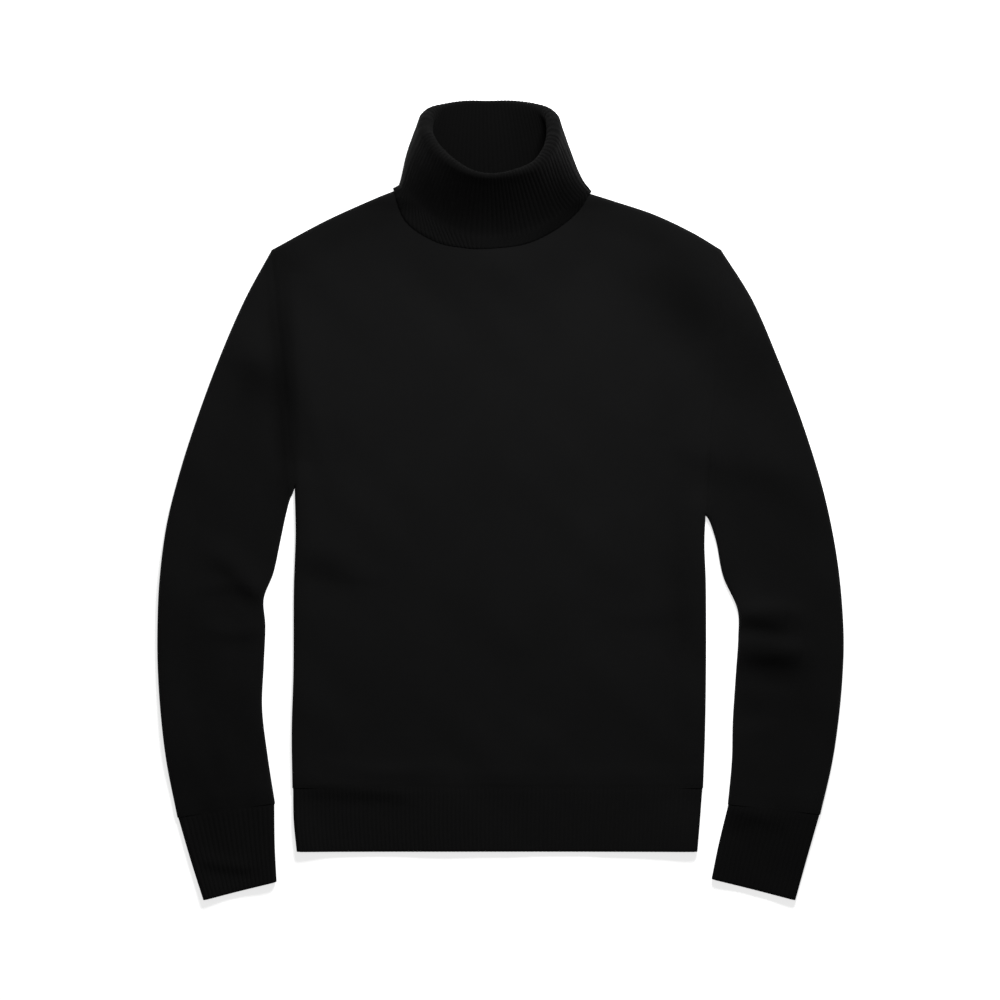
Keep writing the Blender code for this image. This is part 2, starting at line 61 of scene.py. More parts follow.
# Cloth
WALL = 0.0018  # thickness of the knit
LAYER_GAP = 0.0003  # between the two layers of a tube at its folded edges
SEAM_LAP = 0.0003  # how far a sewn-on piece runs into the one it is sewn to
FOLD_REACH = 0.0036  # how far in from a folded edge the cloth turns over
FOLD_HEIGHT = 0.0072  # height of the two layers beside a folded edge
FLAT_HEIGHT = 0.0046  # height of the two layers where they lie on each other
FOLD_FADE = 0.034  # how far in from the edge the height falls from one to the other
LEAST_GAP = 0.0002  # left between the two layers where a crease presses them together
GAP_SOFTNESS = 0.0005  # how gently a crease comes to rest on the layer below

# Neck
NECK_DROP = 0.049  # how far the front neck dips below the shoulders
NECK_RISE = 0.006  # how far the back neck is raised above them
NECK_ROUNDNESS = 2.3
NECK_LIFT = 0.0045  # how far the collar pulls the front neck up
LIFT_FULL = 0.030  # how far from the neck's middle the lift is whole
LIFT_END = 0.105  # and where it has gone
LIFT_WIDTH = 1.25  # how much wider than deep the lifted part is
LIFT_PLACE = 0.6  # share of the front neck's dip at which its middle lies
UNDER_LIFT = 0.0021  # how far the collar's lower layer lifts the back neck
UNDER_LIFT_START = 0.288  # y where the back starts to rise
UNDER_LIFT_END = 0.303  # y where it has risen
UNDER_LIFT_INSIDE = 0.112  # how far to each side of the neck's middle it stays risen
UNDER_LIFT_OUTSIDE = 0.135  # and where it lies on the floor again

# Collar
ROLL = 0.0025  # radius of the soft roll at the rim, to the middle of the wall
SIDE_ROLL = 0.0072  # and at the sides, where it is looser
STAND_RISE = 1.35  # over 1 makes the stand leave the chest flat and then climb
SIDE_SWELL = 0.0022  # how far the collar's sides swell out half-way up
SWELL_LEAN = 0.0010  # how much less on the left, and more on the right
SIDE_LOOSE = 0.0016  # how far the turned-down layer stands off at the sides
FLARE = 0.0060  # how far its foot spreads on the shoulders
FLARE_LEAN = 0.0020  # how much more on the left, and less on the right
FLARE_SHAPE = 4.0  # over 1 keeps the spread near the foot
SIDE_SEAM = 0.0012  # gap at the neck seam's two ends, where the layers turn over
FRONT_SEAM = 0.0003  # and along the rest of it
LAYERS_APART = 0.0003  # least gap between the collar's two layers
FRONT_EASE = 0.0022  # how far the turned-down layer stands off the bulk of the neck seam
EASE_REACH = 0.5  # and up to what share of the stand
EDGE_THIN = 0.84  # how much thinner the collar's free edge is than its wall
SIDE_TURN = 0.12  # cosine of the turn over which the collar passes from front to back
REST_GAP = 0.0003  # gap under the turned-down layer where it rests on the front
COLLAR_RIBS = 46  # on each half of the collar
COLLAR_HEIGHT = 0.082  # of the stand, for the stitches' scale
STAND_ROWS = 22
ROLL_ROWS = 9
HANG_ROWS = 7

# Seams and ribs
RIB_HEIGHT = 0.0066  # height of the two layers of a hem or cuff rib
RIB_PULL = 0.0006  # how far a rib draws each edge in where it is linked on
RIB_DEPTH = 0.00030  # from the top of a rib to the bottom of the groove beside it
RIB_START = 0.006  # how far from the seam a rib reaches its full depth
RIB_COLUMNS = 6  # mesh columns in one rib
GROOVE_POWER = 1.6  # over 1 narrows the groove beside a rib
LEAST_SLANT = 0.35  # limits how far a wall runs on where a sleeve's edge meets its seam aslant
SEAM_DIP = 0.0002  # depth of the groove over a seam
SEAM_DIP_WIDTH = 0.0022
SEAM_BULK = 0.0003  # height of the ridge beside it, where the edges are turned in
SEAM_BULK_PLACE = 0.0046
SEAM_BULK_WIDTH = 0.0024
LINKED_SHARE = 0.35  # how much of the groove and ridge shows where a rib is linked on
BLOUSE = 0.0005  # how far the cloth swells before a rib
BLOUSE_PLACE = 0.013
BLOUSE_WIDTH = 0.009
BLOUSE_FADE = 0.010  # how far beyond the seam's ends it fades away

# Stitches
WALE = 0.00145  # width of one column of stitches
COURSE = 0.00115  # height of one row of stitches
RIB_WALES = 3  # two raised columns and a sunk one in each rib
CUFF_RIBS = 20  # across the laid width
HEM_RIBS = 98

# How finely the pieces are divided
FOLD_ARC = FOLD_REACH * (1.0 - np.cos(np.linspace(0.0, math.pi / 2.0, 8)))
FINE_STEPS = np.concatenate([FOLD_ARC, [0.0052, 0.0072, 0.0096]])
GRID = 0.0032  # between rows and columns of the panels and sleeves
SLEEVE_COLUMNS = 52  # even columns across a sleeve's laid width
RIB_GRID = 0.0028  # between rows of the hem rib and cuffs
RIB_FIRST_ROWS = [0.0, 0.0006, 0.0014]  # finer rows beside the seam
FOLD_TURN = 1.6 * FOLD_REACH  # length of the cloth that turns over at a folded edge
INSET_STEP = 0.002  # share of a curve over which its direction is taken
RUN_STEP = 0.01  # and of a tube or the neck seam
SHARP_ANGLE = 60.0  # degrees over which an edge isn't shaded smooth
LEAST_LENGTH = 1e-12  # keeps a division from failing
EDGE_SAMPLES = 260  # points on each folded edge
CAP_ROWS = 3  # rows that round off a free end
CAP_REACH = 0.6  # how far a free end bulges, as a share of half the wall

# Where the panels' corners lie, as shares along and across them
BODY_WIDTH = 0.41
BODY_LENGTH = 0.54
UNDERARM = 0.53
NECK_START = 0.295
NECK_END = 0.684


def metres(*rows):
    """A table of lengths, from rows in millimetres."""
    return tuple(tuple(length / 1000.0 for length in row) for row in rows)


# Side seams, by x and y, from the hem rib up to the underarm
SIDE_RIGHT = metres(
    (-207.8, -287), (-208.5, -230), (-206.8, -170),
    (-206.4, -90), (-204.6, -35), (-205.5, 13),
)
SIDE_LEFT = metres(
    (202.2, -287), (204.2, -230), (205.2, -160),
    (205, -85), (203.6, -45), (204.6, -15),
)

# Shoulder seams, by x and y, from the armhole to the neck
SHOULDER_RIGHT = metres(
    (-228.7, 250), (-174, 279.5), (-121.5, 303), (-96, 312.2),
)
SHOULDER_LEFT = metres(
    (220.6, 250), (190.5, 268), (152.5, 285.8), (111, 299.5), (78.5, 309.5),
)

# Sleeves, from the armhole to the cuff. A station is x and y of the outer edge, the fold away from
# the body, and x and y of the inner one.
SLEEVE_RIGHT = metres(
    (-228.7, 250, -205.5, 13),
    (-255.5, 200, -207.8, 6),
    (-281.5, 140, -210.5, 0),
    (-305, 76, -215, -18),
    (-322.5, 20, -220, -42),
    (-334, -28, -226.5, -72),
    (-340.5, -80, -236.2, -98),
    (-342.5, -128, -234.6, -126),
    (-342, -172, -236.2, -164),
    (-338.8, -218, -237.8, -208),
    (-333, -264, -232.2, -256),
    (-322.6, -316, -225, -302),
)
SLEEVE_LEFT = metres(
    (220.6, 250, 204.6, -15),
    (251.5, 200, 207, -18),
    (277.5, 140, 209.8, -24),
    (300.5, 80, 212.8, -33),
    (319.5, 20, 216, -45),
    (331.2, -30, 222.2, -76),
    (338.8, -80, 236.2, -108),
    (342.5, -134, 237.2, -136),
    (341.2, -178, 234.6, -176),
    (337, -222, 231.8, -220),
    (330.6, -264, 230.8, -260),
    (319.2, -313, 226.8, -303),
)

# Cuffs, from half-way down to the free end; they start at the sleeve's last station
CUFF_RIGHT = metres(
    (-309.4, -359, -225.2, -343),
    (-296.8, -398.5, -223.4, -380),
)
CUFF_LEFT = metres(
    (306.8, -354, 217.8, -342),
    (294.4, -398.5, 210.6, -377.2),
)

# Hem rib, from half-way down to the free end; its outer edge is at the wearer's right
HEM = metres(
    (-206.6, -319, 199.2, -319),
    (-203.6, -350, 196.6, -350),
)

# The collar, by sections round the neck: the turn, 0 at the front's middle and 90 at the wearer's
# left; x, y and z of the rim, where the inner layer meets the roll; x and y of the edge, which is
# the free end of the turned-down layer.
COLLAR = (
    (0, -0.01, 0.323, 0.05, -0.012, 0.2515),
    (24, 0.012, 0.3262, 0.049, 0.024, 0.256),
    (47, 0.0315, 0.3335, 0.044, 0.053, 0.269),
    (68, 0.043, 0.3455, 0.035, 0.076, 0.287),
    (83, 0.0468, 0.356, 0.0275, 0.0885, 0.305),
    (90, 0.0474, 0.361, 0.024, 0.0905, 0.308),
    (97, 0.0472, 0.3665, 0.0205, 0.089, 0.3102),
    (112, 0.045, 0.3775, 0.014, 0.079, 0.311),
    (135, 0.0345, 0.39, 0.0075, 0.052, 0.3125),
    (158, 0.012, 0.3952, 0.006, 0.02, 0.313),
    (180, -0.012, 0.3956, 0.0059, -0.01, 0.313),
    (202, -0.036, 0.395, 0.006, -0.04, 0.313),
    (225, -0.0575, 0.3895, 0.0075, -0.071, 0.313),
    (248, -0.067, 0.3785, 0.014, -0.095, 0.3122),
    (263, -0.0692, 0.369, 0.0195, -0.1052, 0.3122),
    (270, -0.0695, 0.364, 0.023, -0.1068, 0.3114),
    (277, -0.0685, 0.3592, 0.0265, -0.1062, 0.3085),
    (292, -0.0625, 0.3495, 0.032, -0.0945, 0.2785),
    (313, -0.048, 0.3375, 0.041, -0.066, 0.259),
    (336, -0.03, 0.327, 0.0475, -0.038, 0.2525),
)

# How a crease is drawn
CREASE_STEPS = 24  # points on its line
CREASE_REACH = 2.6  # widths beyond which it is left out
CREASE_END = 0.15  # share of its height at its ends
CREASE_TAPER = 0.7  # under 1 keeps it high for longer between them

# Creases of the upper layer. Each row is its height, up or down; the widths over which it fades away
# to the left and to the right of its direction; and x and y of the points that it runs through.
FRONT_CREASES = metres(
    # the right armhole, where the body stands over the sleeve
    (-1.2, 8, 14, -222.5, 236, -220.5, 150, -216.5, 50),
    (2.6, 26, 8.5, -206, 225, -203.5, 130, -199.5, 40),
    (-0.8, 4.5, 4.5, -211, 165, -207.5, 80, -205.5, 13),
    (1.4, 14, 16, -248, 200, -244, 100, -230, 30),
    # the right sleeve
    (1.8, 24, 14, -276, 150, -250, 144, -226, 134),
    (-0.8, 12, 16, -268, 118, -245, 113, -224, 106),
    (2, 16, 12, -289, -46, -263, -68, -236, -98),
    (-0.8, 8, 11, -289, -67, -264, -87, -240, -112),
    (0.8, 10, 14, -272, -110, -253, -122, -236, -132),
    (-0.5, 9, 12, -278, -142, -256, -146, -236, -148),
    (0.8, 14, 16, -270, -178, -252, -184, -238, -190),
    (1.2, 12, 12, -318, -200, -306, -250, -288, -300),
    (-0.8, 12, 14, -300, -215, -290, -262, -274, -310),
    # the left armhole and the folds that run from it
    (-1.6, 3.2, 3.2, 208.5, 48, 206.5, 12, 205, -15),
    (2, 30, 30, 162, 256, 198, 220, 233, 176),
    (-1, 22, 30, 145, 222, 176, 186, 208, 146),
    (1.8, 22, 34, 222, 192, 248, 178, 278, 158),
    (-0.8, 30, 22, 220, 108, 248, 102, 278, 92),
    (3.6, 36, 19, 170, 62, 215, 46, 260, 36, 303, 26),
    (-1.2, 14, 20, 220, 14, 256, 0, 296, -16),
    # the left elbow
    (4.2, 17, 12, 230, -110, 254, -113, 286, -120),
    (-1, 6, 8, 234, -129, 260, -130.5, 288, -135),
    (5.2, 10, 16, 232, -142, 262, -143.5, 302, -150),
    (-1.4, 10, 14, 234, -169, 266, -168, 306, -172),
    (2, 12, 20, 233, -190, 260, -193, 296, -200),
    (1.2, 10, 12, 230, -236, 252, -230, 278, -228),
    # the body
    (1.6, 18, 12, -206, -46, -176, -52, -144, -60),
    (-1, 12, 16, -204, -76, -178, -80, -148, -84),
    (1.4, 16, 36, -204, -116, -182, -120, -160, -122),
    (1.8, 12, 12, 194, 30, 193, -80, 188, -210),
    (-0.8, 14, 14, 170, 20, 171, -80, 166, -210),
    (1.6, 10, 7, -198, -282, -142, -288, -88, -293),
    (-1, 4, 8, -196, -299, -142, -303, -90, -306),
    # the cuffs
    (1.2, 9, 6, -304, -356, -274, -364, -244, -366),
    (-1, 5, 8, -300, -368, -274, -374, -246, -374),
    (1.4, 10, 8, 224, -308, 254, -314, 286, -320),
    (-1, 8, 10, 220, -330, 252, -334, 288, -340),
)

# Creases of the back, which arch up off the floor, in the same way
BACK_CREASES = metres(
    (1.2, 14, 10, -202, -60, -160, -72, -110, -76),
    (1, 12, 16, 200, -100, 154, -112, 104, -110),
    (1.2, 12, 12, -198, 160, -186, 80, -172, 10),
    (1.2, 12, 12, 196, 170, 184, 80, 174, 0),
    (1, 20, 20, -80, 250, 0, 236, 76, 248),
    (1.4, 8, 9, -238, -92, -268, -84, -304, -88),
    (1.2, 8, 9, -240, -128, -268, -132, -300, -126),
    (1.6, 8, 9, 240, -112, 270, -108, 306, -114),
    (1.2, 9, 10, 240, -150, 268, -156, 302, -148),
    (1, 8, 10, -180, -262, -120, -270, -50, -266),
)

# How light each piece's colour is next to the body: painted shade, darker on the pieces that lie in
# less light
PAINTED_PIECE_SHADE = {"front": 1.0, "back": 1.0, "sleeve_right": 1.0, "sleeve_left": 1.0, "cuff_right": 0.94,
         "cuff_left": 0.78, "hem_rib": 0.96, "collar": 0.74}

# Darker patches of painted shade, where shade falls in folds and hollows and away from the lamp: x
# and y of the middle, the reach across and along, the turn of the patch in degrees, and how light its
# middle is. They go through to the back.
PAINTED_SHADE_PATCHES = (
    (0.0, 0.31, 0.6, 0.085, 0.0, 0.62),
    (-0.305, -0.08, 0.095, 0.42, -6.0, 0.8),
    (0.302, -0.08, 0.1, 0.42, 6.0, 0.7),
    (0.19, 0.193, 0.056, 0.034, -48.0, 0.44),
    (0.252, 0.126, 0.036, 0.034, 0.0, 0.78),
    (-0.216, 0.105, 0.011, 0.12, 3.0, 0.44),
    (-0.242, 0.114, 0.026, 0.024, 0.0, 0.62),
    (-0.262, -0.085, 0.03, 0.01, -42.0, 0.76),
    (-0.15, -0.298, 0.07, 0.018, -4.0, 0.82),
    (0.261, -0.006, 0.04, 0.024, -14.0, 0.8),
    (0.264, -0.13, 0.028, 0.014, -5.0, 0.54),
    (0.275, -0.169, 0.036, 0.02, -4.0, 0.54),
    (0.178, -0.084, 0.018, 0.08, 0.0, 0.8),
    (-0.18, -0.064, 0.03, 0.014, -8.0, 0.86),
    (-0.29, -0.29, 0.024, 0.05, 8.0, 0.84),
    (0.248, -0.335, 0.032, 0.03, 0.0, 0.82),
)
INSIDE_PAINTED_SHADE = 0.36  # painted shade on the collar's inner side, where shade falls inside the mouth
INSIDE_FADE = 0.10  # share of the stand over which it passes to the outside's tone
INSIDE_LEFT_SHADE = 0.50  # how much darker still the painted shade is on the left, where the side wall shades it
RIM_PAINTED_SHADE = 0.34  # painted shade that dims the soft roll at the rim
RIM_FADE = 0.16  # share of the stand over which the roll passes to the outside's tone
LEFT_PAINTED_SHADE = 0.28  # painted shade on the collar's outside at its left
LEFT_INSIDE = (0.05, 0.60)  # sines of the turns over which the painted shade on the inside's left deepens
LEFT_OUTSIDE = (0.30, 0.80)  # and over which the outside's does

# Soft unevenness all over: lengths of its waves, and how steep each one is
RIPPLE_LENGTHS = np.geomspace(0.045, 0.19, 12)
RIPPLE_SLOPE = 0.016
RIPPLE_SEED = 11

# Wool
BLACK = (0.0055, 0.0055, 0.0056)
ROUGHNESS = 0.86
FIBRE_ROUGHNESS = 0.12  # how much rougher the fibres' tops are
SPECULAR = 0.08
SHEEN_PLAIN = 0.012
SHEEN_RIB = 0.005
SHEEN_ROUGHNESS = 0.45
WANDER_SCALE = 0.35  # of the stitches' wander, by wales
WANDER = 0.5  # how far they wander, in wales
FIBRE_SCALE = 2.6
FIBRE_HEIGHT = 0.5  # next to a stitch
CLOUD_SCALE = 16.0  # of the dye's unevenness
CLOUD_DARKEST = 0.87
CLOUD_RANGE = 0.26
GROOVE_PAINTED_SHADE = 0.70  # painted shade: how light the cloth's colour is in the grooves between its stitches
STITCH_SHADE_RANGE = 0.55  # and how much lighter its colour is on top of them
LINT_SCALE = 420.0
LINT_START = 0.82  # noise over this is lint
LINT_GAIN = 14.0
LINT_TONE = 0.9
SINK = 0.55  # how much lower the stitches in a rib's groove are
BUMP_STRENGTH = 0.7
BUMP_DISTANCE = 0.00035

# Studio
WORLD_GLOW = 0.13
KEY_PLACE = (0.28, 1.08, 0.92)
KEY_TARGET = (0.02, 0.12, 0.0)
KEY_SIZE = (0.55, 0.45)
KEY_POWER = 28.5
FLOOR_SIZE = 40.0
FLOOR_DROP = 0.0003  # how far below the garment the floor lies
WHITE = (1.0, 1.0, 1.0, 1.0)
FLOOR_LOOKS = {
    "Base Color": (0.82, 0.82, 0.82, 1.0),
    "Roughness": 0.9,
    "Specular IOR Level": 0.1,
    "Emission Color": WHITE,
    "Emission Strength": 0.72,
}
CAMERA_WIDTH = 0.9985  # what the camera sees across
CAMERA_HEIGHT = 8.0
CAMERA_SHIFT = -0.0004  # in x, from the middle of the part


def ease(low, high, value):
    """0 below low, 1 above high, and a smooth step between."""
    share = np.clip((value - low) / (high - low), 0.0, 1.0)
    return share * share * (3.0 - 2.0 * share)


def bump(value, width):
    """1 where value is 0, fading away over this width."""
    return np.exp(-((value / width) ** 2))


def cubic(before, start, end, after, share):
    """A Catmull-Rom span from start to end."""
    return 0.5 * (
        2.0 * start
        + (end - before) * share
        + (2.0 * before - 5.0 * start + 4.0 * end - after) * share**2
        + (3.0 * start - before - 3.0 * end + after) * share**3
    )


def track(points, dense=24):
    """A function from 0..1, by length, to points on a smooth curve through these."""
    knots = np.array(points, float)
    before = 2.0 * knots[0] - knots[1]
    after = 2.0 * knots[-1] - knots[-2]
    padded = np.vstack([before, knots, after])
    shares = np.linspace(0.0, 1.0, dense, endpoint=False)[:, None]
    spans = [cubic(*padded[k:k + 4], shares) for k in range(len(knots) - 1)]
    line = np.vstack(spans + [knots[-1:]])
    steps = np.linalg.norm(np.diff(line, axis=0), axis=1)
    reached = np.concatenate([[0.0], np.cumsum(steps)])
    reached /= reached[-1]

    def place(share):
        return np.stack(
            [np.interp(share, reached, line[:, k]) for k in range(line.shape[1])], axis=-1
        )

    return place


def joined(parts):
    """One function from 0..1 over several, given as pairs of where each starts and its function."""
    starts = [start for start, _ in parts]
    ends = starts[1:] + [1.0]

    def place(share):
        share = np.asarray(share, float)
        result = None
        for start, end, (_, part) in zip(starts, ends, parts):
            here = part(np.clip((share - start) / (end - start), 0.0, 1.0))
            if result is None:
                result = here
            else:
                result = np.where((share > start)[..., None], here, result)
        return result

    return place


def backwards(place):
    return lambda share: place(1.0 - np.asarray(share, float))


def change(place, share, step):
    """How far a curve runs from a little before these shares of it to a little after."""
    return place(np.clip(share + step, 0.0, 1.0)) - place(np.clip(share - step, 0.0, 1.0))


def inset(place, side, amount):
    """The same curve moved sideways: side is 1 for the left of its direction, -1 for the right."""

    def moved(share):
        share = np.asarray(share, float)
        run = change(place, share, INSET_STEP)
        run /= np.linalg.norm(run, axis=-1, keepdims=True)
        across = np.stack([-run[..., 1], run[..., 0]], axis=-1)
        return place(share) + side * amount * across

    return moved


def between(start, place, end, fade=0.06):
    """The same curve with its two ends moved to these points."""
    start_move = start - place(0.0)
    end_move = end - place(1.0)

    def moved(share):
        share = np.asarray(share, float)
        near_start = 1.0 - ease(0.0, fade, share)
        near_end = ease(1.0 - fade, 1.0, share)
        return place(share) + near_start[..., None] * start_move + near_end[..., None] * end_move

    return moved


def straight(start, end):
    return lambda share: start + (end - start) * np.asarray(share, float)[..., None]


def ends_of(station):
    """The outer and the inner point of a station."""
    return np.array(station[:2]), np.array(station[2:])


def seam_line(station):
    """The armhole seam, which is the first station of a sleeve, from the underarm to the shoulder."""
    shoulder, underarm = ends_of(station)
    return straight(underarm, shoulder)


def linked(station, pull):
    """The first station of a rib that is linked to a tube's last one."""
    outer, inner = ends_of(station)
    across = (inner - outer) / np.linalg.norm(inner - outer)
    onward = np.array([across[1], -across[0]]) * np.sign(across[0])
    outer = outer + pull * across - SEAM_LAP * onward
    inner = inner - pull * across - SEAM_LAP * onward
    return (*outer, *inner)


NECK_RIGHT = SHOULDER_RIGHT[-1]
NECK_LEFT = SHOULDER_LEFT[-1]
NECK_MIDDLE = (NECK_RIGHT[0] + NECK_LEFT[0]) / 2.0
NECK_HALF = (NECK_LEFT[0] - NECK_RIGHT[0]) / 2.0
HEM_TOP = SIDE_RIGHT[0] + SIDE_LEFT[0]
TUBES = {
    "sleeve_right": (linked(SLEEVE_RIGHT[0], 0.0),) + SLEEVE_RIGHT[1:],
    "sleeve_left": (linked(SLEEVE_LEFT[0], 0.0),) + SLEEVE_LEFT[1:],
    "cuff_right": (linked(SLEEVE_RIGHT[-1], RIB_PULL),) + CUFF_RIGHT,
    "cuff_left": (linked(SLEEVE_LEFT[-1], RIB_PULL),) + CUFF_LEFT,
    "hem_rib": (linked(HEM_TOP, RIB_PULL),) + HEM,
}
ARMHOLES = (ends_of(SLEEVE_RIGHT[0]), ends_of(SLEEVE_LEFT[0]))
RIB_SEAMS = (ends_of(HEM_TOP), ends_of(SLEEVE_RIGHT[-1]), ends_of(SLEEVE_LEFT[-1]))


def edges_of(stations):
    """The two folded edges of a tube, outer and inner."""
    line = track(stations)
    return (lambda share: line(share)[..., :2]), (lambda share: line(share)[..., 2:])


def folded_edges():
    """The middles and the runs of short segments along every folded edge, and a search tree."""
    edges = [track(points) for points in (SIDE_RIGHT, SIDE_LEFT, SHOULDER_RIGHT, SHOULDER_LEFT)]
    for stations in TUBES.values():
        edges.extend(edges_of(stations))
    lines = [edge(np.linspace(0.0, 1.0, EDGE_SAMPLES)) for edge in edges]
    starts = np.vstack([line[:-1] for line in lines])
    runs = np.vstack([np.diff(line, axis=0) for line in lines])
    tree = KDTree(len(starts))
    for index, (x, y) in enumerate(starts + runs / 2.0):
        tree.insert((x, y, 0.0), index)
    tree.balance()
    return starts, runs, tree


EDGE_STARTS, EDGE_RUNS, EDGE_TREE = folded_edges()


def edge_distance(plan):
    """How far each place lies from the nearest folded edge of the garment."""
    flat = plan.reshape(-1, 2)
    found = np.array([EDGE_TREE.find((x, y, 0.0))[1] for x, y in flat.tolist()])
    nearest = np.full(len(flat), np.inf)
    for step in (-1, 0, 1):
        index = np.clip(found + step, 0, len(EDGE_STARTS) - 1)
        run = EDGE_RUNS[index]
        offset = flat - EDGE_STARTS[index]
        share = np.clip((offset * run).sum(-1) / (run * run).sum(-1), 0.0, 1.0)
        nearest = np.minimum(nearest, np.linalg.norm(offset - share[:, None] * run, axis=-1))
    return nearest.reshape(plan.shape[:-1])


def along_line(plan, start, end):
    """How far each place lies to the left of a straight seam, and how far beyond its ends."""
    run = end - start
    length = np.linalg.norm(run)
    run = run / length
    offset = plan - start
    along = offset @ run
    aside = offset @ np.array([-run[1], run[0]])
    return aside, np.maximum(np.maximum(-along, along - length), 0.0)


def crease_height(plan, crease):
    """The height that one crease adds at these places."""
    height, *widths = crease[:3]
    line = track(np.reshape(crease[3:], (-1, 2)))(np.linspace(0.0, 1.0, CREASE_STEPS))
    reach = CREASE_REACH * max(widths)
    inside = ((plan > line.min(0) - reach) & (plan < line.max(0) + reach)).all(-1)
    near = plan[inside]
    offset = near[:, None] - line[None, :-1]
    run = np.diff(line, axis=0)[None]
    share = np.clip((offset * run).sum(-1) / (run * run).sum(-1), 0.0, 1.0)
    gap = offset - share[..., None] * run
    size = np.linalg.norm(gap, axis=-1)
    nearest = size.argmin(1)
    rows = np.arange(len(near))
    place = (nearest + share[rows, nearest]) / (len(line) - 1)
    run_x, run_y = run[0, nearest].T
    gap_x, gap_y = gap[rows, nearest].T
    width = np.where(run_x * gap_y - run_y * gap_x > 0.0, *widths)
    taper = np.sin(math.pi * np.clip(place, 0.0, 1.0)) ** CREASE_TAPER
    taper = CREASE_END + (1.0 - CREASE_END) * taper
    result = np.zeros(plan.shape[:-1])
    result[inside] = height * bump(size[rows, nearest], width) * taper
    return result


def creased(plan, creases):
    """The height that all of these creases add."""
    return sum(crease_height(plan, crease) for crease in creases)


def ripple(plan):
    """Soft unevenness, the same each time."""
    chance = np.random.default_rng(RIPPLE_SEED)
    total = np.zeros(plan.shape[:-1])
    for length in RIPPLE_LENGTHS:
        heading, phase = chance.uniform(0.0, 2.0 * math.pi, 2)
        wave = 2.0 * math.pi / length
        travel = plan[..., 0] * math.cos(heading) + plan[..., 1] * math.sin(heading)
        total += RIPPLE_SLOPE / wave * np.sin(wave * travel + phase)
    return total


def blouse(plan):
    """How far the cloth swells just before each rib."""
    total = np.zeros(plan.shape[:-1])
    for start, end in RIB_SEAMS:
        if end[0] < start[0]:
            start, end = end, start
        aside, beyond = along_line(plan, start, end)
        total += BLOUSE * bump(aside - BLOUSE_PLACE, BLOUSE_WIDTH) * bump(beyond, BLOUSE_FADE)
    return total


def painted_shade(plan):
    """How light the cloth's colour is at these places: painted shade in the patches, 1 elsewhere."""
    total = np.ones(plan.shape[:-1])
    for middle_x, middle_y, wide, deep, turn, tone in PAINTED_SHADE_PATCHES:
        angle = math.radians(turn)
        x, y = plan[..., 0] - middle_x, plan[..., 1] - middle_y
        across = (x * math.cos(angle) + y * math.sin(angle)) / wide
        along = (y * math.cos(angle) - x * math.sin(angle)) / deep
        total *= 1.0 - (1.0 - tone) * np.exp(-(across**2) - along**2)
    return total


def under_lift(plan):
    """How far the turned-down collar lifts the back, which lies on it."""
    rise = ease(UNDER_LIFT_START, UNDER_LIFT_END, plan[..., 1])
    aside = np.abs(plan[..., 0] - NECK_MIDDLE)
    return UNDER_LIFT * rise * (1.0 - ease(UNDER_LIFT_INSIDE, UNDER_LIFT_OUTSIDE, aside))


def top_lift(plan):
    """How far the front is raised towards the neck."""
    front_middle = np.array([NECK_MIDDLE, NECK_RIGHT[1] - NECK_DROP * LIFT_PLACE])
    reach = np.linalg.norm((plan - front_middle) / [LIFT_WIDTH, 1.0], axis=-1)
    return NECK_LIFT * (1.0 - ease(LIFT_FULL, LIFT_END, reach))


def heights(plan, tall=FOLD_HEIGHT):
    """Height of the garment's underside and upper side, before its edges turn over."""
    distance = edge_distance(plan)
    bead = 1.0 - ease(FOLD_REACH, FOLD_FADE, distance)
    bottom = under_lift(plan) + creased(plan, BACK_CREASES)
    relief = ripple(plan) + blouse(plan) + creased(plan, FRONT_CREASES)
    room = FLAT_HEIGHT + (tall - FLAT_HEIGHT) * bead + top_lift(plan) + relief
    spare = room - 2.0 * WALL - LEAST_GAP
    spare = 0.5 * (spare + np.sqrt(spare**2 + GAP_SOFTNESS**2))
    return bottom, bottom + 2.0 * WALL + LEAST_GAP + spare, distance


def seam_relief(plan):
    """Height of the outside over the seams: a groove between two low ridges."""
    total = np.zeros(plan.shape[:-1])
    shares = [1.0] * len(ARMHOLES) + [LINKED_SHARE] * len(RIB_SEAMS)
    for (start, end), share in zip(ARMHOLES + RIB_SEAMS, shares):
        aside, beyond = along_line(plan, start, end)
        aside = np.hypot(aside, beyond)
        total += share * SEAM_BULK * bump(aside - SEAM_BULK_PLACE, SEAM_BULK_WIDTH)
        total -= share * SEAM_DIP * bump(aside, SEAM_DIP_WIDTH)
    return total


def layer(plan, upper, outside, gap=LAYER_GAP, tall=FOLD_HEIGHT):
    """Points of one face of one layer of cloth over these places.

    upper picks the upper or the lower layer, outside its outer or its inner face; gap is left
    between the two layers where they meet at a folded edge.
    """
    bottom, top, distance = heights(plan, tall)
    middle = (bottom + top) / 2.0
    half = (top - bottom) / 2.0
    reach = FOLD_REACH
    if outside:
        half = half + (seam_relief(plan) if upper else np.minimum(seam_relief(plan), 0.0))
    else:
        distance = distance - WALL
        reach = FOLD_REACH - WALL
        half = half - WALL
    turned = np.clip(1.0 - distance / reach, 0.0, 1.0)
    spread = gap / 2.0 + (half - gap / 2.0) * np.sqrt(1.0 - turned**2)
    height = middle + spread if upper else middle - spread
    return np.concatenate([plan, height[..., None]], axis=-1)


def coons(left, right, bottom, top, across, along):
    """A grid of places inside four curves, with a row for each value of along."""
    u = across[None, :, None]
    v = along[:, None, None]
    sides = (1 - u) * left(along)[:, None] + u * right(along)[:, None]
    ends = (1 - v) * bottom(across)[None] + v * top(across)[None]
    low_left, low_right = bottom(np.array([0.0, 1.0]))
    high_left, high_right = top(np.array([0.0, 1.0]))
    corners = (1 - v) * ((1 - u) * low_left + u * low_right)
    corners = corners + v * ((1 - u) * high_left + u * high_right)
    return sides + ends - corners


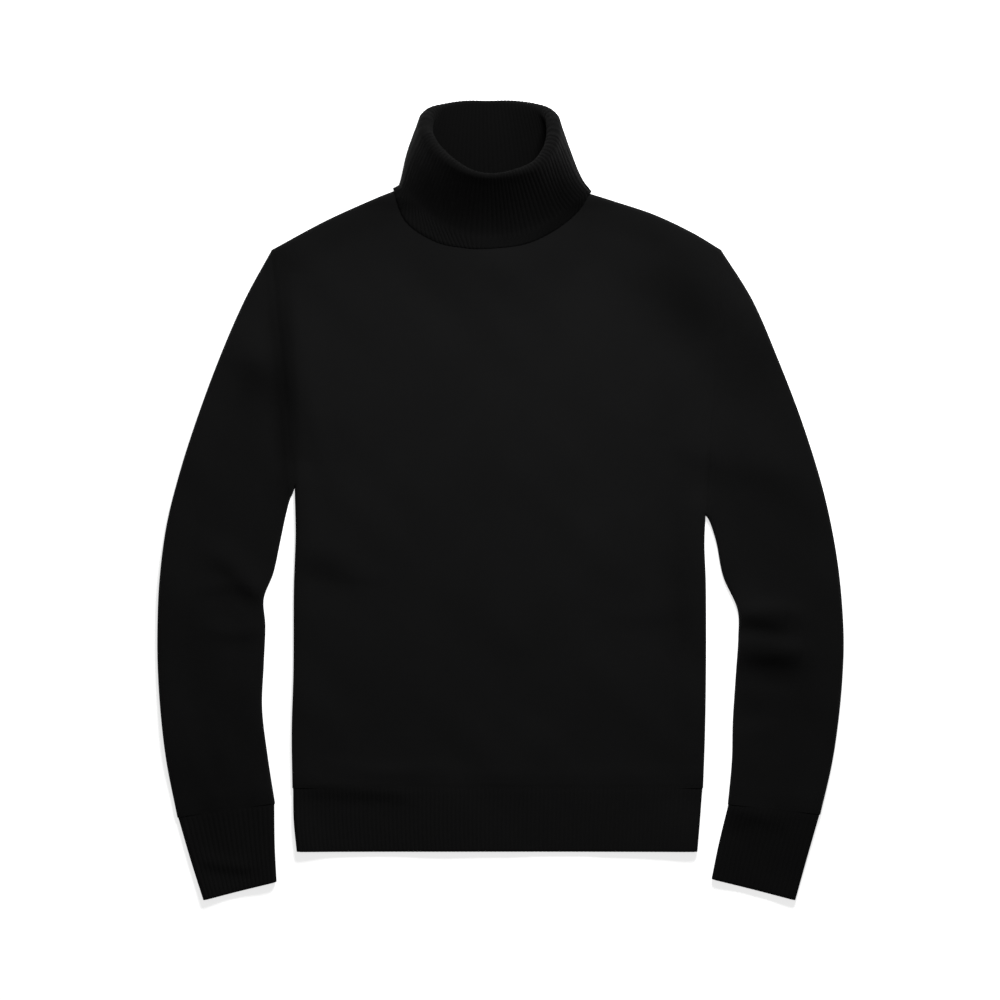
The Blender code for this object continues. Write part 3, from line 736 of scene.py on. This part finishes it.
def spaced(length, pitch):
    """Shares from 0 to 1 along this length: fine steps at both ends and even ones between."""
    near = FINE_STEPS / length
    count = max(2, round((1.0 - 2.0 * near[-1]) * length / pitch))
    middle = np.linspace(near[-1], 1.0 - near[-1], count + 1)[1:-1]
    return np.concatenate([near, middle, 1.0 - near[::-1]])


def quads(index):
    """Faces between the neighbours in a grid of point numbers."""
    corners = [index[:-1, :-1], index[:-1, 1:], index[1:, 1:], index[1:, :-1]]
    return np.stack([corner.ravel() for corner in corners], axis=-1)


def closed(index):
    """The same grid with its first column again after its last one."""
    return np.concatenate([index, index[:, :1]], axis=1)


def sheet_shell(outer, inner):
    """Points and faces of a closed wall between two grids with four borders."""
    count = outer.shape[0] * outer.shape[1]
    index = np.arange(count).reshape(outer.shape[:2])
    border = np.concatenate([index[0], index[1:, -1], index[-1, -2::-1], index[-2:0:-1, 0]])[None]
    rim = closed(np.concatenate([border, border + count]))
    faces = np.concatenate([quads(index), quads(index[::-1] + count), quads(rim[::-1])])
    return np.concatenate([outer.reshape(-1, 3), inner.reshape(-1, 3)]), faces


def lengths(runs):
    """The length of each run, kept as a column."""
    return np.linalg.norm(runs, axis=-1, keepdims=True)


def ring_shell(outer, inner):
    """Points and faces of a closed wall between two grids of rings, rounded off at its last row."""
    half = (outer[-1] - inner[-1]) / 2.0
    middle = (outer[-1] + inner[-1]) / 2.0
    onward = (outer[-1] + inner[-1] - outer[-2] - inner[-2]) / 2.0
    onward *= CAP_REACH * lengths(half) / lengths(onward)
    angles = np.linspace(0.0, math.pi, CAP_ROWS + 2)[1:-1]
    cap = np.array([middle + math.cos(a) * half + math.sin(a) * onward for a in angles])
    rows = np.concatenate([outer, cap, inner[::-1]])
    index = np.arange(rows.shape[0] * rows.shape[1]).reshape(rows.shape[:2])
    return rows.reshape(-1, 3), quads(closed(np.concatenate([index, index[:1]])))


def shell_rows(values):
    """Values for each row of a ring shell, from those for each row of its faces."""
    return np.concatenate([values, np.repeat(values[-1:], CAP_ROWS, axis=0), values[::-1]])


def knit_counts(wales, courses):
    """Wales and courses at each point of a ring shell, from the courses at each row of its faces."""
    courses = shell_rows(courses)[:, None]
    wales = np.broadcast_to(wales, (len(courses), wales.shape[-1]))
    return np.stack([wales.ravel(), np.broadcast_to(courses, wales.shape).ravel()], axis=-1)


def facing_out(points, faces):
    """The faces, turned round if they enclose a negative volume."""
    a, b, c, d = (points[faces[:, k]] for k in range(4))
    volume = np.einsum("ij,ij->i", a, np.cross(b, c)) + np.einsum("ij,ij->i", a, np.cross(c, d))
    return faces if volume.sum() > 0.0 else faces[:, ::-1]


def add_piece(name, node, points, faces, knit, material, tone=1.0):
    """A piece of cloth that stands for a CAD node; knit counts wales and courses at each point."""
    faces = facing_out(points, faces)
    mesh = bpy.data.meshes.new(name)
    mesh.vertices.add(len(points))
    mesh.vertices.foreach_set("co", points.astype(np.float32).ravel())
    mesh.loops.add(faces.size)
    mesh.loops.foreach_set("vertex_index", faces.astype(np.int32).ravel())
    mesh.polygons.add(len(faces))
    mesh.polygons.foreach_set("loop_start", np.arange(0, faces.size, 4, dtype=np.int32))
    mesh.update(calc_edges=True)
    mesh.shade_smooth()
    mesh.set_sharp_from_angle(angle=math.radians(SHARP_ANGLE))
    layout = mesh.uv_layers.new(name="Knit")
    layout.data.foreach_set("uv", knit[faces.ravel()].astype(np.float32).ravel())
    # the tone attribute is painted shade: per-piece shade, shade patches and the collar's painted
    # shade
    lightness = (PAINTED_PIECE_SHADE[node] * painted_shade(points[:, :2]) * tone).astype(np.float32)
    mesh.attributes.new("tone", "FLOAT", "POINT").data.foreach_set("value", lightness)
    mesh.materials.append(material)
    piece = add_object(name, mesh)
    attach(piece, "root")
    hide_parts(node)
    return piece


def panel(name, node, upper, material):
    """The front or the back, from the hem rib to the shoulders and the neck."""
    across = spaced(BODY_WIDTH, GRID)
    along = spaced(BODY_LENGTH, GRID)
    faces = []
    for outside in (True, False):
        turn_in = 0.0 if outside else WALL
        side_right = inset(track(SIDE_RIGHT), -1, turn_in)
        side_left = inset(track(SIDE_LEFT), 1, turn_in)
        shoulder_right = inset(track(SHOULDER_RIGHT), -1, turn_in)
        shoulder_left = inset(track(SHOULDER_LEFT), 1, turn_in)
        armhole_right = between(side_right(1.0), seam_line(SLEEVE_RIGHT[0]), shoulder_right(0.0))
        armhole_left = between(side_left(1.0), seam_line(SLEEVE_LEFT[0]), shoulder_left(0.0))
        neck = between(shoulder_right(1.0), lambda share: neck_line(share, upper), shoulder_left(1.0))
        plan = coons(
            joined([(0.0, side_right), (UNDERARM, armhole_right)]),
            joined([(0.0, side_left), (UNDERARM, armhole_left)]),
            straight(side_right(0.0), side_left(0.0)),
            joined([(0.0, shoulder_right), (NECK_START, neck), (NECK_END, backwards(shoulder_left))]),
            across,
            along,
        )
        faces.append(layer(plan, upper, outside))
    points, quad_faces = sheet_shell(*faces)
    knit = points[:, :2] / [WALE, COURSE]
    return add_piece(name, node, points, quad_faces, knit, material)


def tube_rows(stations, rows, columns, turn_in):
    """Places across a flattened tube, a row for each section, from its outer edge to its inner."""
    line = track(stations)(rows)
    run = change(track(stations), rows, RUN_STEP)
    outer, inner = line[:, :2], line[:, 2:]
    across = inner - outer
    width = np.linalg.norm(across, axis=1)
    starts = []
    for edge_run in (run[:, :2], run[:, 2:]):
        cross = edge_run[:, 0] * across[:, 1] - edge_run[:, 1] * across[:, 0]
        slant = np.abs(cross) / width / np.linalg.norm(edge_run, axis=1)
        starts.append(turn_in / width / np.maximum(slant, LEAST_SLANT))
    plan = []
    for row in range(len(rows)):
        near = FINE_STEPS / width[row]
        middle = np.linspace(near[-1], 1.0 - near[-1], columns + 1)[1:-1]
        share = np.concatenate([near, middle, 1.0 - near[::-1]])
        share = starts[0][row] + share * (1.0 - starts[0][row] - starts[1][row])
        plan.append(outer[row] + share[:, None] * across[row])
    return np.array(plan), width


def normals_of(grid):
    """Unit normals of a grid whose rows are closed rings, pointing out of the ring."""
    around = np.roll(grid, -1, axis=1) - np.roll(grid, 1, axis=1)
    along = np.gradient(grid, axis=0)
    normal = np.cross(around, along)
    return normal / np.maximum(lengths(normal), LEAST_LENGTH)


def rib_profile(phase):
    """Height of a rib, 0 to 1: broad on top, with a narrow groove at each whole phase."""
    return 1.0 - (0.5 + 0.5 * np.cos(2.0 * math.pi * phase)) ** GROOVE_POWER


def tube_length(stations):
    """Length of a tube along its middle."""
    line = np.array(stations)
    middle = (line[:, :2] + line[:, 2:]) / 2.0
    return np.linalg.norm(np.diff(middle, axis=0), axis=1).sum()


def tube_face(plan, outside, tall=FOLD_HEIGHT):
    """One face of a flattened tube: over the top from its outer edge, and back underneath."""
    gap = 0.0 if outside else LAYER_GAP
    above = layer(plan, True, outside, gap, tall)
    below = layer(plan, False, outside, gap, tall)
    return np.concatenate([above, below[:, -2:0:-1]], axis=1)


def sleeve(name, node, material):
    """A sleeve: a plain knitted tube that lies flat."""
    stations = TUBES[node]
    length = tube_length(stations)
    rows = spaced(length, GRID)
    faces = []
    for outside in (True, False):
        plan, width = tube_rows(stations, rows, SLEEVE_COLUMNS, 0.0 if outside else WALL)
        faces.append(tube_face(plan, outside))
    points, quad_faces = ring_shell(*faces)
    outer = track(stations)(rows)[:, None, :2]
    far = np.linalg.norm(faces[0][..., :2] - outer, axis=-1) - width[:, None] / 2.0
    knit = knit_counts(shell_rows(far) / WALE, rows * length / COURSE)
    return add_piece(name, node, points, quad_faces, knit, material)


def rib_tube(name, node, ribs, material):
    """A cuff or the hem rib: a ribbed tube that lies flat."""
    stations = TUBES[node]
    length = tube_length(stations)
    count = round(length / RIB_GRID)
    rows = np.concatenate([RIB_FIRST_ROWS, np.linspace(RIB_GRID, length, count)]) / length
    phase = np.linspace(0.0, ribs, ribs * RIB_COLUMNS + 1)
    faces = []
    for outside in (True, False):
        turn_in = 0.0 if outside else WALL
        line = track(stations)(rows)
        across = line[:, 2:] - line[:, :2]
        width = np.linalg.norm(across, axis=1)[:, None]
        arc = fold_shares(phase / ribs, width, turn_in)
        plan = line[:, None, :2] + arc[..., None] * across[:, None]
        faces.append(tube_face(plan, outside, RIB_HEIGHT))
    ring_phase = np.concatenate([phase, phase[-2:0:-1]])
    grown = ease(0.0, RIB_START, rows * length)[:, None]
    depth = RIB_DEPTH * (rib_profile(ring_phase) - 0.5)[None, :] * grown
    out = normals_of(faces[0])
    out *= np.sign((out[:, :, 2] * (faces[0][..., 2] - faces[0][..., 2].mean())).sum())
    faces[0] = faces[0] + depth[..., None] * out
    faces[0][..., 2] = np.maximum(faces[0][..., 2], 0.0)
    points, quad_faces = ring_shell(*faces)
    knit = knit_counts(RIB_WALES * ring_phase + 0.5, rows * length / COURSE)
    return add_piece(name, node, points, quad_faces, knit, material)


def fold_shares(shares, width, turn_in):
    """Shares across a flattened tube at even steps of the cloth, which turns over at both edges."""
    cloth = np.minimum(shares, 1.0 - shares)[None] * (width + 2.0 * (FOLD_TURN - FOLD_REACH))
    angle = np.clip(cloth / FOLD_TURN, 0.0, 1.0) * math.pi / 2.0
    turning = FOLD_REACH * (1.0 - np.cos(angle))
    reach = np.where(cloth < FOLD_TURN, turning, cloth - FOLD_TURN + FOLD_REACH)
    reach = turn_in + reach * (1.0 - 2.0 * turn_in / width)
    near = reach / width
    return np.where(shares[None] <= 0.5, near, 1.0 - near)


def neck_line(share, front):
    """The neck seam from the right shoulder to the left one."""
    share = np.asarray(share, float)
    start = np.array(NECK_RIGHT)
    end = np.array(NECK_LEFT)
    line = start + (end - start) * share[..., None]
    bow = 1.0 - np.abs(2.0 * share - 1.0) ** NECK_ROUNDNESS
    line[..., 1] += -NECK_DROP * bow if front else NECK_RISE * bow
    return line


def collar_table(turns):
    """The collar's sections at these turns, on a smooth closed curve through the table's rows."""
    rows = np.array(COLLAR, float)
    count = len(rows)
    first = np.searchsorted(rows[:, 0], turns, side="right") - 1
    picked = [rows[(first + k) % count] for k in (-1, 0, 1, 2)]
    end_turn = np.where(first + 1 < count, picked[2][:, 0], 360.0)
    share = (turns - picked[1][:, 0]) / (end_turn - picked[1][:, 0])
    return cubic(*[row[:, 1:] for row in picked], share[:, None])


def neck_ring(turns, outside):
    """The collar's end at the neck seam, round the front and the back of the neck."""
    share = 0.5 + 0.5 * np.sin(turns)
    trim = 0.0 if outside else WALL / (2.0 * NECK_HALF)
    share = trim + share * (1.0 - 2.0 * trim)
    front = layer(neck_line(share, True), True, outside)
    back = layer(neck_line(share, False), False, outside)
    front_share = ease(-SIDE_TURN, SIDE_TURN, np.cos(turns))[:, None]
    ring = back + (front - back) * front_share
    run = change(lambda place: neck_line(place, True), share, RUN_STEP)
    into = np.stack([-run[:, 1], run[:, 0]], axis=-1) / np.linalg.norm(run, axis=-1)[:, None]
    into = np.where(np.cos(turns)[:, None] > 0.0, into, [0.0, 1.0])
    at_side = ease(SIDE_TURN, 3.0 * SIDE_TURN, np.abs(np.cos(turns)))[:, None]
    ring[:, :2] += (SIDE_SEAM + (FRONT_SEAM - SIDE_SEAM) * at_side) * into
    return ring


def even_turns(count):
    """Turns that divide the collar evenly, by the mean of its seam's and its rim's lengths."""
    degrees = np.linspace(0.0, 360.0, 1441)
    turns = np.radians(degrees)
    table = collar_table(degrees % 360.0)
    reached = np.zeros(len(degrees))
    for ring in (neck_ring(turns, True), table[:, :3], table[:, 3:]):
        steps = np.linalg.norm(np.diff(ring, axis=0), axis=1)
        reached[1:] += np.cumsum(steps)
    return np.interp(np.linspace(0.0, reached[-1], count, endpoint=False), reached, degrees)


def collar_painted_shade(stand_shares, sideways, row_count):
    """How light each point of the collar's colour is: painted shade inside, on the roll and outside
    at its left.
    """
    lightness = np.ones((row_count, 1)) + (LEFT_PAINTED_SHADE - 1.0) * ease(*LEFT_OUTSIDE, sideways)
    under = INSIDE_PAINTED_SHADE * (1.0 + (INSIDE_LEFT_SHADE - 1.0) * ease(*LEFT_INSIDE, sideways))
    inside = ease(1.0, 1.0 - INSIDE_FADE, stand_shares)[:, None]
    lightness[:STAND_ROWS] = RIM_PAINTED_SHADE + (under - RIM_PAINTED_SHADE) * inside
    first = STAND_ROWS + ROLL_ROWS - 1
    lightness[STAND_ROWS:first] = RIM_PAINTED_SHADE
    outside = ease(0.0, RIM_FADE, 1.0 - stand_shares[::-1])[:, None]
    body = lightness[first:first + STAND_ROWS]
    lightness[first:first + STAND_ROWS] = RIM_PAINTED_SHADE + (body - RIM_PAINTED_SHADE) * outside
    plain = np.ones((row_count + CAP_ROWS, len(sideways)))
    return np.concatenate([plain, lightness[::-1]]).ravel()


def collar(name, node, material):
    """One rib tube: up the stand from the neck seam, over the soft roll and down outside."""
    count = 2 * COLLAR_RIBS * RIB_COLUMNS
    degrees = even_turns(count)
    turns = np.radians(degrees)
    table = collar_table(degrees)
    rim = table[:, :3]
    edge = table[:, 3:]
    seam_outer = neck_ring(turns, True)
    seam_inner = neck_ring(turns, False)
    seam = (seam_outer + seam_inner) / 2.0
    sideways = np.sin(turns)
    front_share = ease(-SIDE_TURN, SIDE_TURN, np.cos(turns))

    def lowest(plan, half):
        """Height of the wall's middle where it lies on the front, or on the floor under the back."""
        return half + (heights(plan)[1] + REST_GAP) * front_share

    stand_shares = np.linspace(0.0, 1.0, STAND_ROWS)
    stand = []
    for share in stand_shares:
        ring = seam + (rim - seam) * share
        ring[:, 2] = seam[:, 2] + (rim[:, 2] - seam[:, 2]) * share**STAND_RISE
        ring[:, 0] += (SIDE_SWELL - SWELL_LEAN * sideways) * math.sin(math.pi * share) * sideways
        stand.append(ring)
    stand = np.array(stand)
    out = normals_of(stand)

    up = stand[-1] - stand[-2]
    up /= lengths(up)
    radius = (ROLL + (SIDE_ROLL - ROLL) * sideways**2)[:, None]
    middle = stand[-1] + radius * out[-1]
    roll = []
    for step in range(1, ROLL_ROWS):
        angle = math.pi * step / ROLL_ROWS
        roll.append(middle - radius * math.cos(angle) * out[-1] + radius * math.sin(angle) * up)

    turned_down = []
    for share, ring, normal in zip(stand_shares[::-1], stand[::-1], out[::-1]):
        apart = WALL + LAYERS_APART + (2.0 * radius[:, 0] - WALL - LAYERS_APART) * share**STAND_RISE
        loose = SIDE_LOOSE * math.sin(math.pi * share) * np.abs(sideways)
        ring = ring + (apart + loose)[:, None] * normal
        foot = (1.0 - share) ** FLARE_SHAPE * sideways * np.abs(sideways)
        ring[:, 0] += (FLARE + FLARE_LEAN * sideways) * foot
        ring[:, 2] += FRONT_EASE * bump(share, EASE_REACH) * front_share
        ring[:, 2] = np.maximum(ring[:, 2], lowest(ring[:, :2], WALL / 2.0))
        turned_down.append(ring)

    last = turned_down[-1]
    raised = last[:, 2] - lowest(last[:, :2], WALL / 2.0)
    hang = []
    hang_shares = np.linspace(0.0, 1.0, HANG_ROWS)[1:]
    for share in hang_shares:
        plan = last[:, :2] + (edge - last[:, :2]) * share
        height = lowest(plan, WALL / 2.0 * (1.0 - EDGE_THIN * share)) + raised * (1.0 - share)
        hang.append(np.concatenate([plan, height[:, None]], axis=1))

    cloth = np.array([*stand, *roll, *turned_down, *hang])
    half = np.full(len(cloth), WALL / 2.0)
    half[-len(hang):] *= 1.0 - EDGE_THIN * hang_shares
    half = half[:, None]
    cloth[..., 2] = np.maximum(cloth[..., 2], half)
    out = normals_of(cloth)
    hidden = cloth + half[..., None] * out
    shown = cloth - half[..., None] * out
    hidden[0] = seam_outer
    shown[0] = seam_inner
    ring_phase = COLLAR_RIBS * (1.0 - np.abs(np.linspace(-1.0, 1.0, count, endpoint=False)))
    shown -= RIB_DEPTH * (rib_profile(ring_phase) - 0.5)[None, :, None] * out
    for face in (hidden, shown):
        face[..., 2] = np.maximum(face[..., 2], 0.0)
    points, quad_faces = ring_shell(hidden, shown)
    rows = np.linspace(0.0, 2.0 * COLLAR_HEIGHT, len(cloth)) / COURSE
    knit = knit_counts(RIB_WALES * ring_phase + 0.5, rows)
    # painted shade on the collar, carried in the tone attribute
    tone = collar_painted_shade(stand_shares, sideways, len(cloth))
    return add_piece(name, node, points, quad_faces, knit, material, tone)


def add_object(name, data):
    """A new object in the scene."""
    made = bpy.data.objects.new(name, data)
    bpy.context.scene.collection.objects.link(made)
    return made


def new_material(name, settings):
    """A material and its shader, with these of the shader's inputs set."""
    material = bpy.data.materials.new(name)
    material.use_nodes = True
    shader = material.node_tree.nodes["Principled BSDF"]
    for socket, value in settings.items():
        shader.inputs[socket].default_value = value
    return material, shader


class Nodes:
    """Short ways to add shader nodes to a material."""

    def __init__(self, material):
        self.tree = material.node_tree

    def add(self, kind, **settings):
        node = self.tree.nodes.new(kind)
        for key, value in settings.items():
            setattr(node, key, value)
        return node

    def link(self, source, socket):
        self.tree.links.new(source, socket)

    def math(self, operation, *values):
        node = self.add("ShaderNodeMath", operation=operation)
        for socket, value in zip(node.inputs, values):
            if isinstance(value, (int, float)):
                socket.default_value = value
            else:
                self.link(value, socket)
        return node.outputs[0]

    def noise(self, vector, scale, detail):
        node = self.add("ShaderNodeTexNoise")
        node.inputs["Scale"].default_value = scale
        node.inputs["Detail"].default_value = detail
        self.link(vector, node.inputs["Vector"])
        return node.outputs["Fac"]


def stitches(nodes, wale, course):
    """Height of plain knitting, 0 to 1: each column is a row of Vs with plump legs."""
    across = nodes.math("FRACT", wale)
    across = nodes.math("ABSOLUTE", nodes.math("SUBTRACT", across, 0.5))
    leg = nodes.math("SINE", nodes.math("MULTIPLY", across, 2.0 * math.pi))
    leg = nodes.math("POWER", nodes.math("MAXIMUM", leg, 0.0), 0.6)
    climb = nodes.math("SUBTRACT", course, nodes.math("MULTIPLY", across, 1.7))
    turn = nodes.math("SINE", nodes.math("MULTIPLY", nodes.math("FRACT", climb), math.pi))
    turn = nodes.math("MULTIPLY_ADD", nodes.math("POWER", turn, 0.7), 0.62, 0.38)
    return nodes.math("MULTIPLY", leg, turn)


def knit_material(name, ribbed):
    """Matt black wool: stitches in its height, painted shade between them and from the tone attribute
    in its colour, fine fibres and a faint bloom.
    """
    settings = {
        "Specular IOR Level": SPECULAR,
        "Sheen Weight": SHEEN_RIB if ribbed else SHEEN_PLAIN,
        "Sheen Roughness": SHEEN_ROUGHNESS,
    }
    material, shader = new_material(name, settings)
    nodes = Nodes(material)
    knit = nodes.add("ShaderNodeUVMap", uv_map="Knit")
    parts = nodes.add("ShaderNodeSeparateXYZ")
    nodes.link(knit.outputs["UV"], parts.inputs[0])
    wale, course = parts.outputs["X"], parts.outputs["Y"]
    place = nodes.add("ShaderNodeTexCoord").outputs["Object"]

    wobble = nodes.noise(knit.outputs["UV"], WANDER_SCALE, 2.0)
    wobble = nodes.math("MULTIPLY_ADD", wobble, WANDER, -WANDER / 2.0)
    height = stitches(nodes, nodes.math("ADD", wale, wobble), nodes.math("ADD", course, wobble))
    if ribbed:
        turn = nodes.math("MULTIPLY_ADD", wale, 2.0 * math.pi / RIB_WALES, -math.pi / RIB_WALES)
        sunk = nodes.math("MULTIPLY_ADD", nodes.math("COSINE", turn), 0.5, 0.5)
        sunk = nodes.math("POWER", sunk, GROOVE_POWER)
        raised = nodes.math("MULTIPLY_ADD", sunk, -SINK, 1.0)
        height = nodes.math("MULTIPLY", height, raised)
    fibres = nodes.noise(knit.outputs["UV"], FIBRE_SCALE, 4.0)
    nap_height = nodes.math("MULTIPLY_ADD", fibres, FIBRE_HEIGHT, -FIBRE_HEIGHT / 2.0)
    height = nodes.math("ADD", height, nap_height)

    cloud = nodes.noise(place, CLOUD_SCALE, 3.0)
    tone = nodes.math("MULTIPLY_ADD", cloud, CLOUD_RANGE, CLOUD_DARKEST)
    # painted shade: the colour is darker in the grooves between the stitches and the ribs
    shade = nodes.math("MULTIPLY_ADD", height, STITCH_SHADE_RANGE, GROOVE_PAINTED_SHADE)
    tone = nodes.math("MULTIPLY", tone, shade)
    lint = nodes.math("SUBTRACT", nodes.noise(place, LINT_SCALE, 1.0), LINT_START)
    lint = nodes.math("MAXIMUM", nodes.math("MULTIPLY", lint, LINT_GAIN), 0.0)
    lint = nodes.math("MULTIPLY", nodes.math("MINIMUM", lint, 1.0), LINT_TONE)
    tone = nodes.math("ADD", tone, lint)
    # painted shade from the tone attribute darkens the colour
    lightness = nodes.add("ShaderNodeAttribute", attribute_name="tone").outputs["Fac"]
    tone = nodes.math("MULTIPLY", tone, lightness)
    colour = nodes.add("ShaderNodeVectorMath", operation="SCALE")
    colour.inputs[0].default_value = BLACK
    nodes.link(tone, colour.inputs["Scale"])
    nodes.link(colour.outputs[0], shader.inputs["Base Color"])
    rough = nodes.math("MULTIPLY_ADD", fibres, FIBRE_ROUGHNESS, ROUGHNESS)
    nodes.link(rough, shader.inputs["Roughness"])

    relief = nodes.add("ShaderNodeBump")
    relief.inputs["Strength"].default_value = BUMP_STRENGTH
    relief.inputs["Distance"].default_value = BUMP_DISTANCE
    nodes.link(height, relief.inputs["Height"])
    nodes.link(relief.outputs["Normal"], shader.inputs["Normal"])
    return material


def add_key():
    """The one lamp, a soft one above and beyond the collar."""
    data = bpy.data.lights.new("key", "AREA")
    data.shape = "RECTANGLE"
    data.size, data.size_y = KEY_SIZE
    data.energy = KEY_POWER
    light = add_object("key", data)
    light.location = KEY_PLACE
    aim = Vector(KEY_TARGET) - Vector(KEY_PLACE)
    light.rotation_euler = aim.to_track_quat("-Z", "Y").to_euler()
    light.visible_camera = False


def add_floor():
    """A plain pale floor, lit a little from within so that it stays pale to its edges."""
    mesh = bpy.data.meshes.new("floor")
    half = FLOOR_SIZE / 2.0
    level = CAD_LOW.z - FLOOR_DROP
    corners = [(-half, -half, level), (half, -half, level), (half, half, level), (-half, half, level)]
    mesh.from_pydata(corners, [], [(0, 1, 2, 3)])
    mesh.materials.append(new_material("pale_floor", FLOOR_LOOKS)[0])
    add_object("floor", mesh)


def add_camera():
    """Straight above the middle of the garment."""
    data = bpy.data.cameras.new("camera")
    data.sensor_width = 36.0
    data.lens = data.sensor_width * CAMERA_HEIGHT / CAMERA_WIDTH
    data.clip_end = 100.0
    camera = add_object("camera", data)
    middle = (CAD_LOW + CAD_HIGH) / 2.0
    camera.location = (middle.x + CAMERA_SHIFT, middle.y, CAMERA_HEIGHT)
    bpy.context.scene.camera = camera


def studio():
    scene = bpy.context.scene
    scene.view_settings.view_transform = "Standard"
    world = bpy.data.worlds.new("studio")
    world.use_nodes = True
    background = world.node_tree.nodes["Background"]
    background.inputs["Color"].default_value = WHITE
    background.inputs["Strength"].default_value = WORLD_GLOW
    scene.world = world
    add_key()
    add_floor()
    add_camera()


def main():
    plain = knit_material("black_plain_knit", ribbed=False)
    rib = knit_material("black_rib_knit", ribbed=True)
    front = panel("front_knit", "front", True, plain)
    back = panel("back_knit", "back", False, plain)
    sleeve_right = sleeve("sleeve_right_knit", "sleeve_right", plain)
    sleeve_left = sleeve("sleeve_left_knit", "sleeve_left", plain)
    cuff_right = rib_tube("cuff_right_rib", "cuff_right", CUFF_RIBS, rib)
    cuff_left = rib_tube("cuff_left_rib", "cuff_left", CUFF_RIBS, rib)
    hem = rib_tube("hem_rib_knit", "hem_rib", HEM_RIBS, rib)
    neck = collar("collar_rib", "collar", rib)


studio()
main()
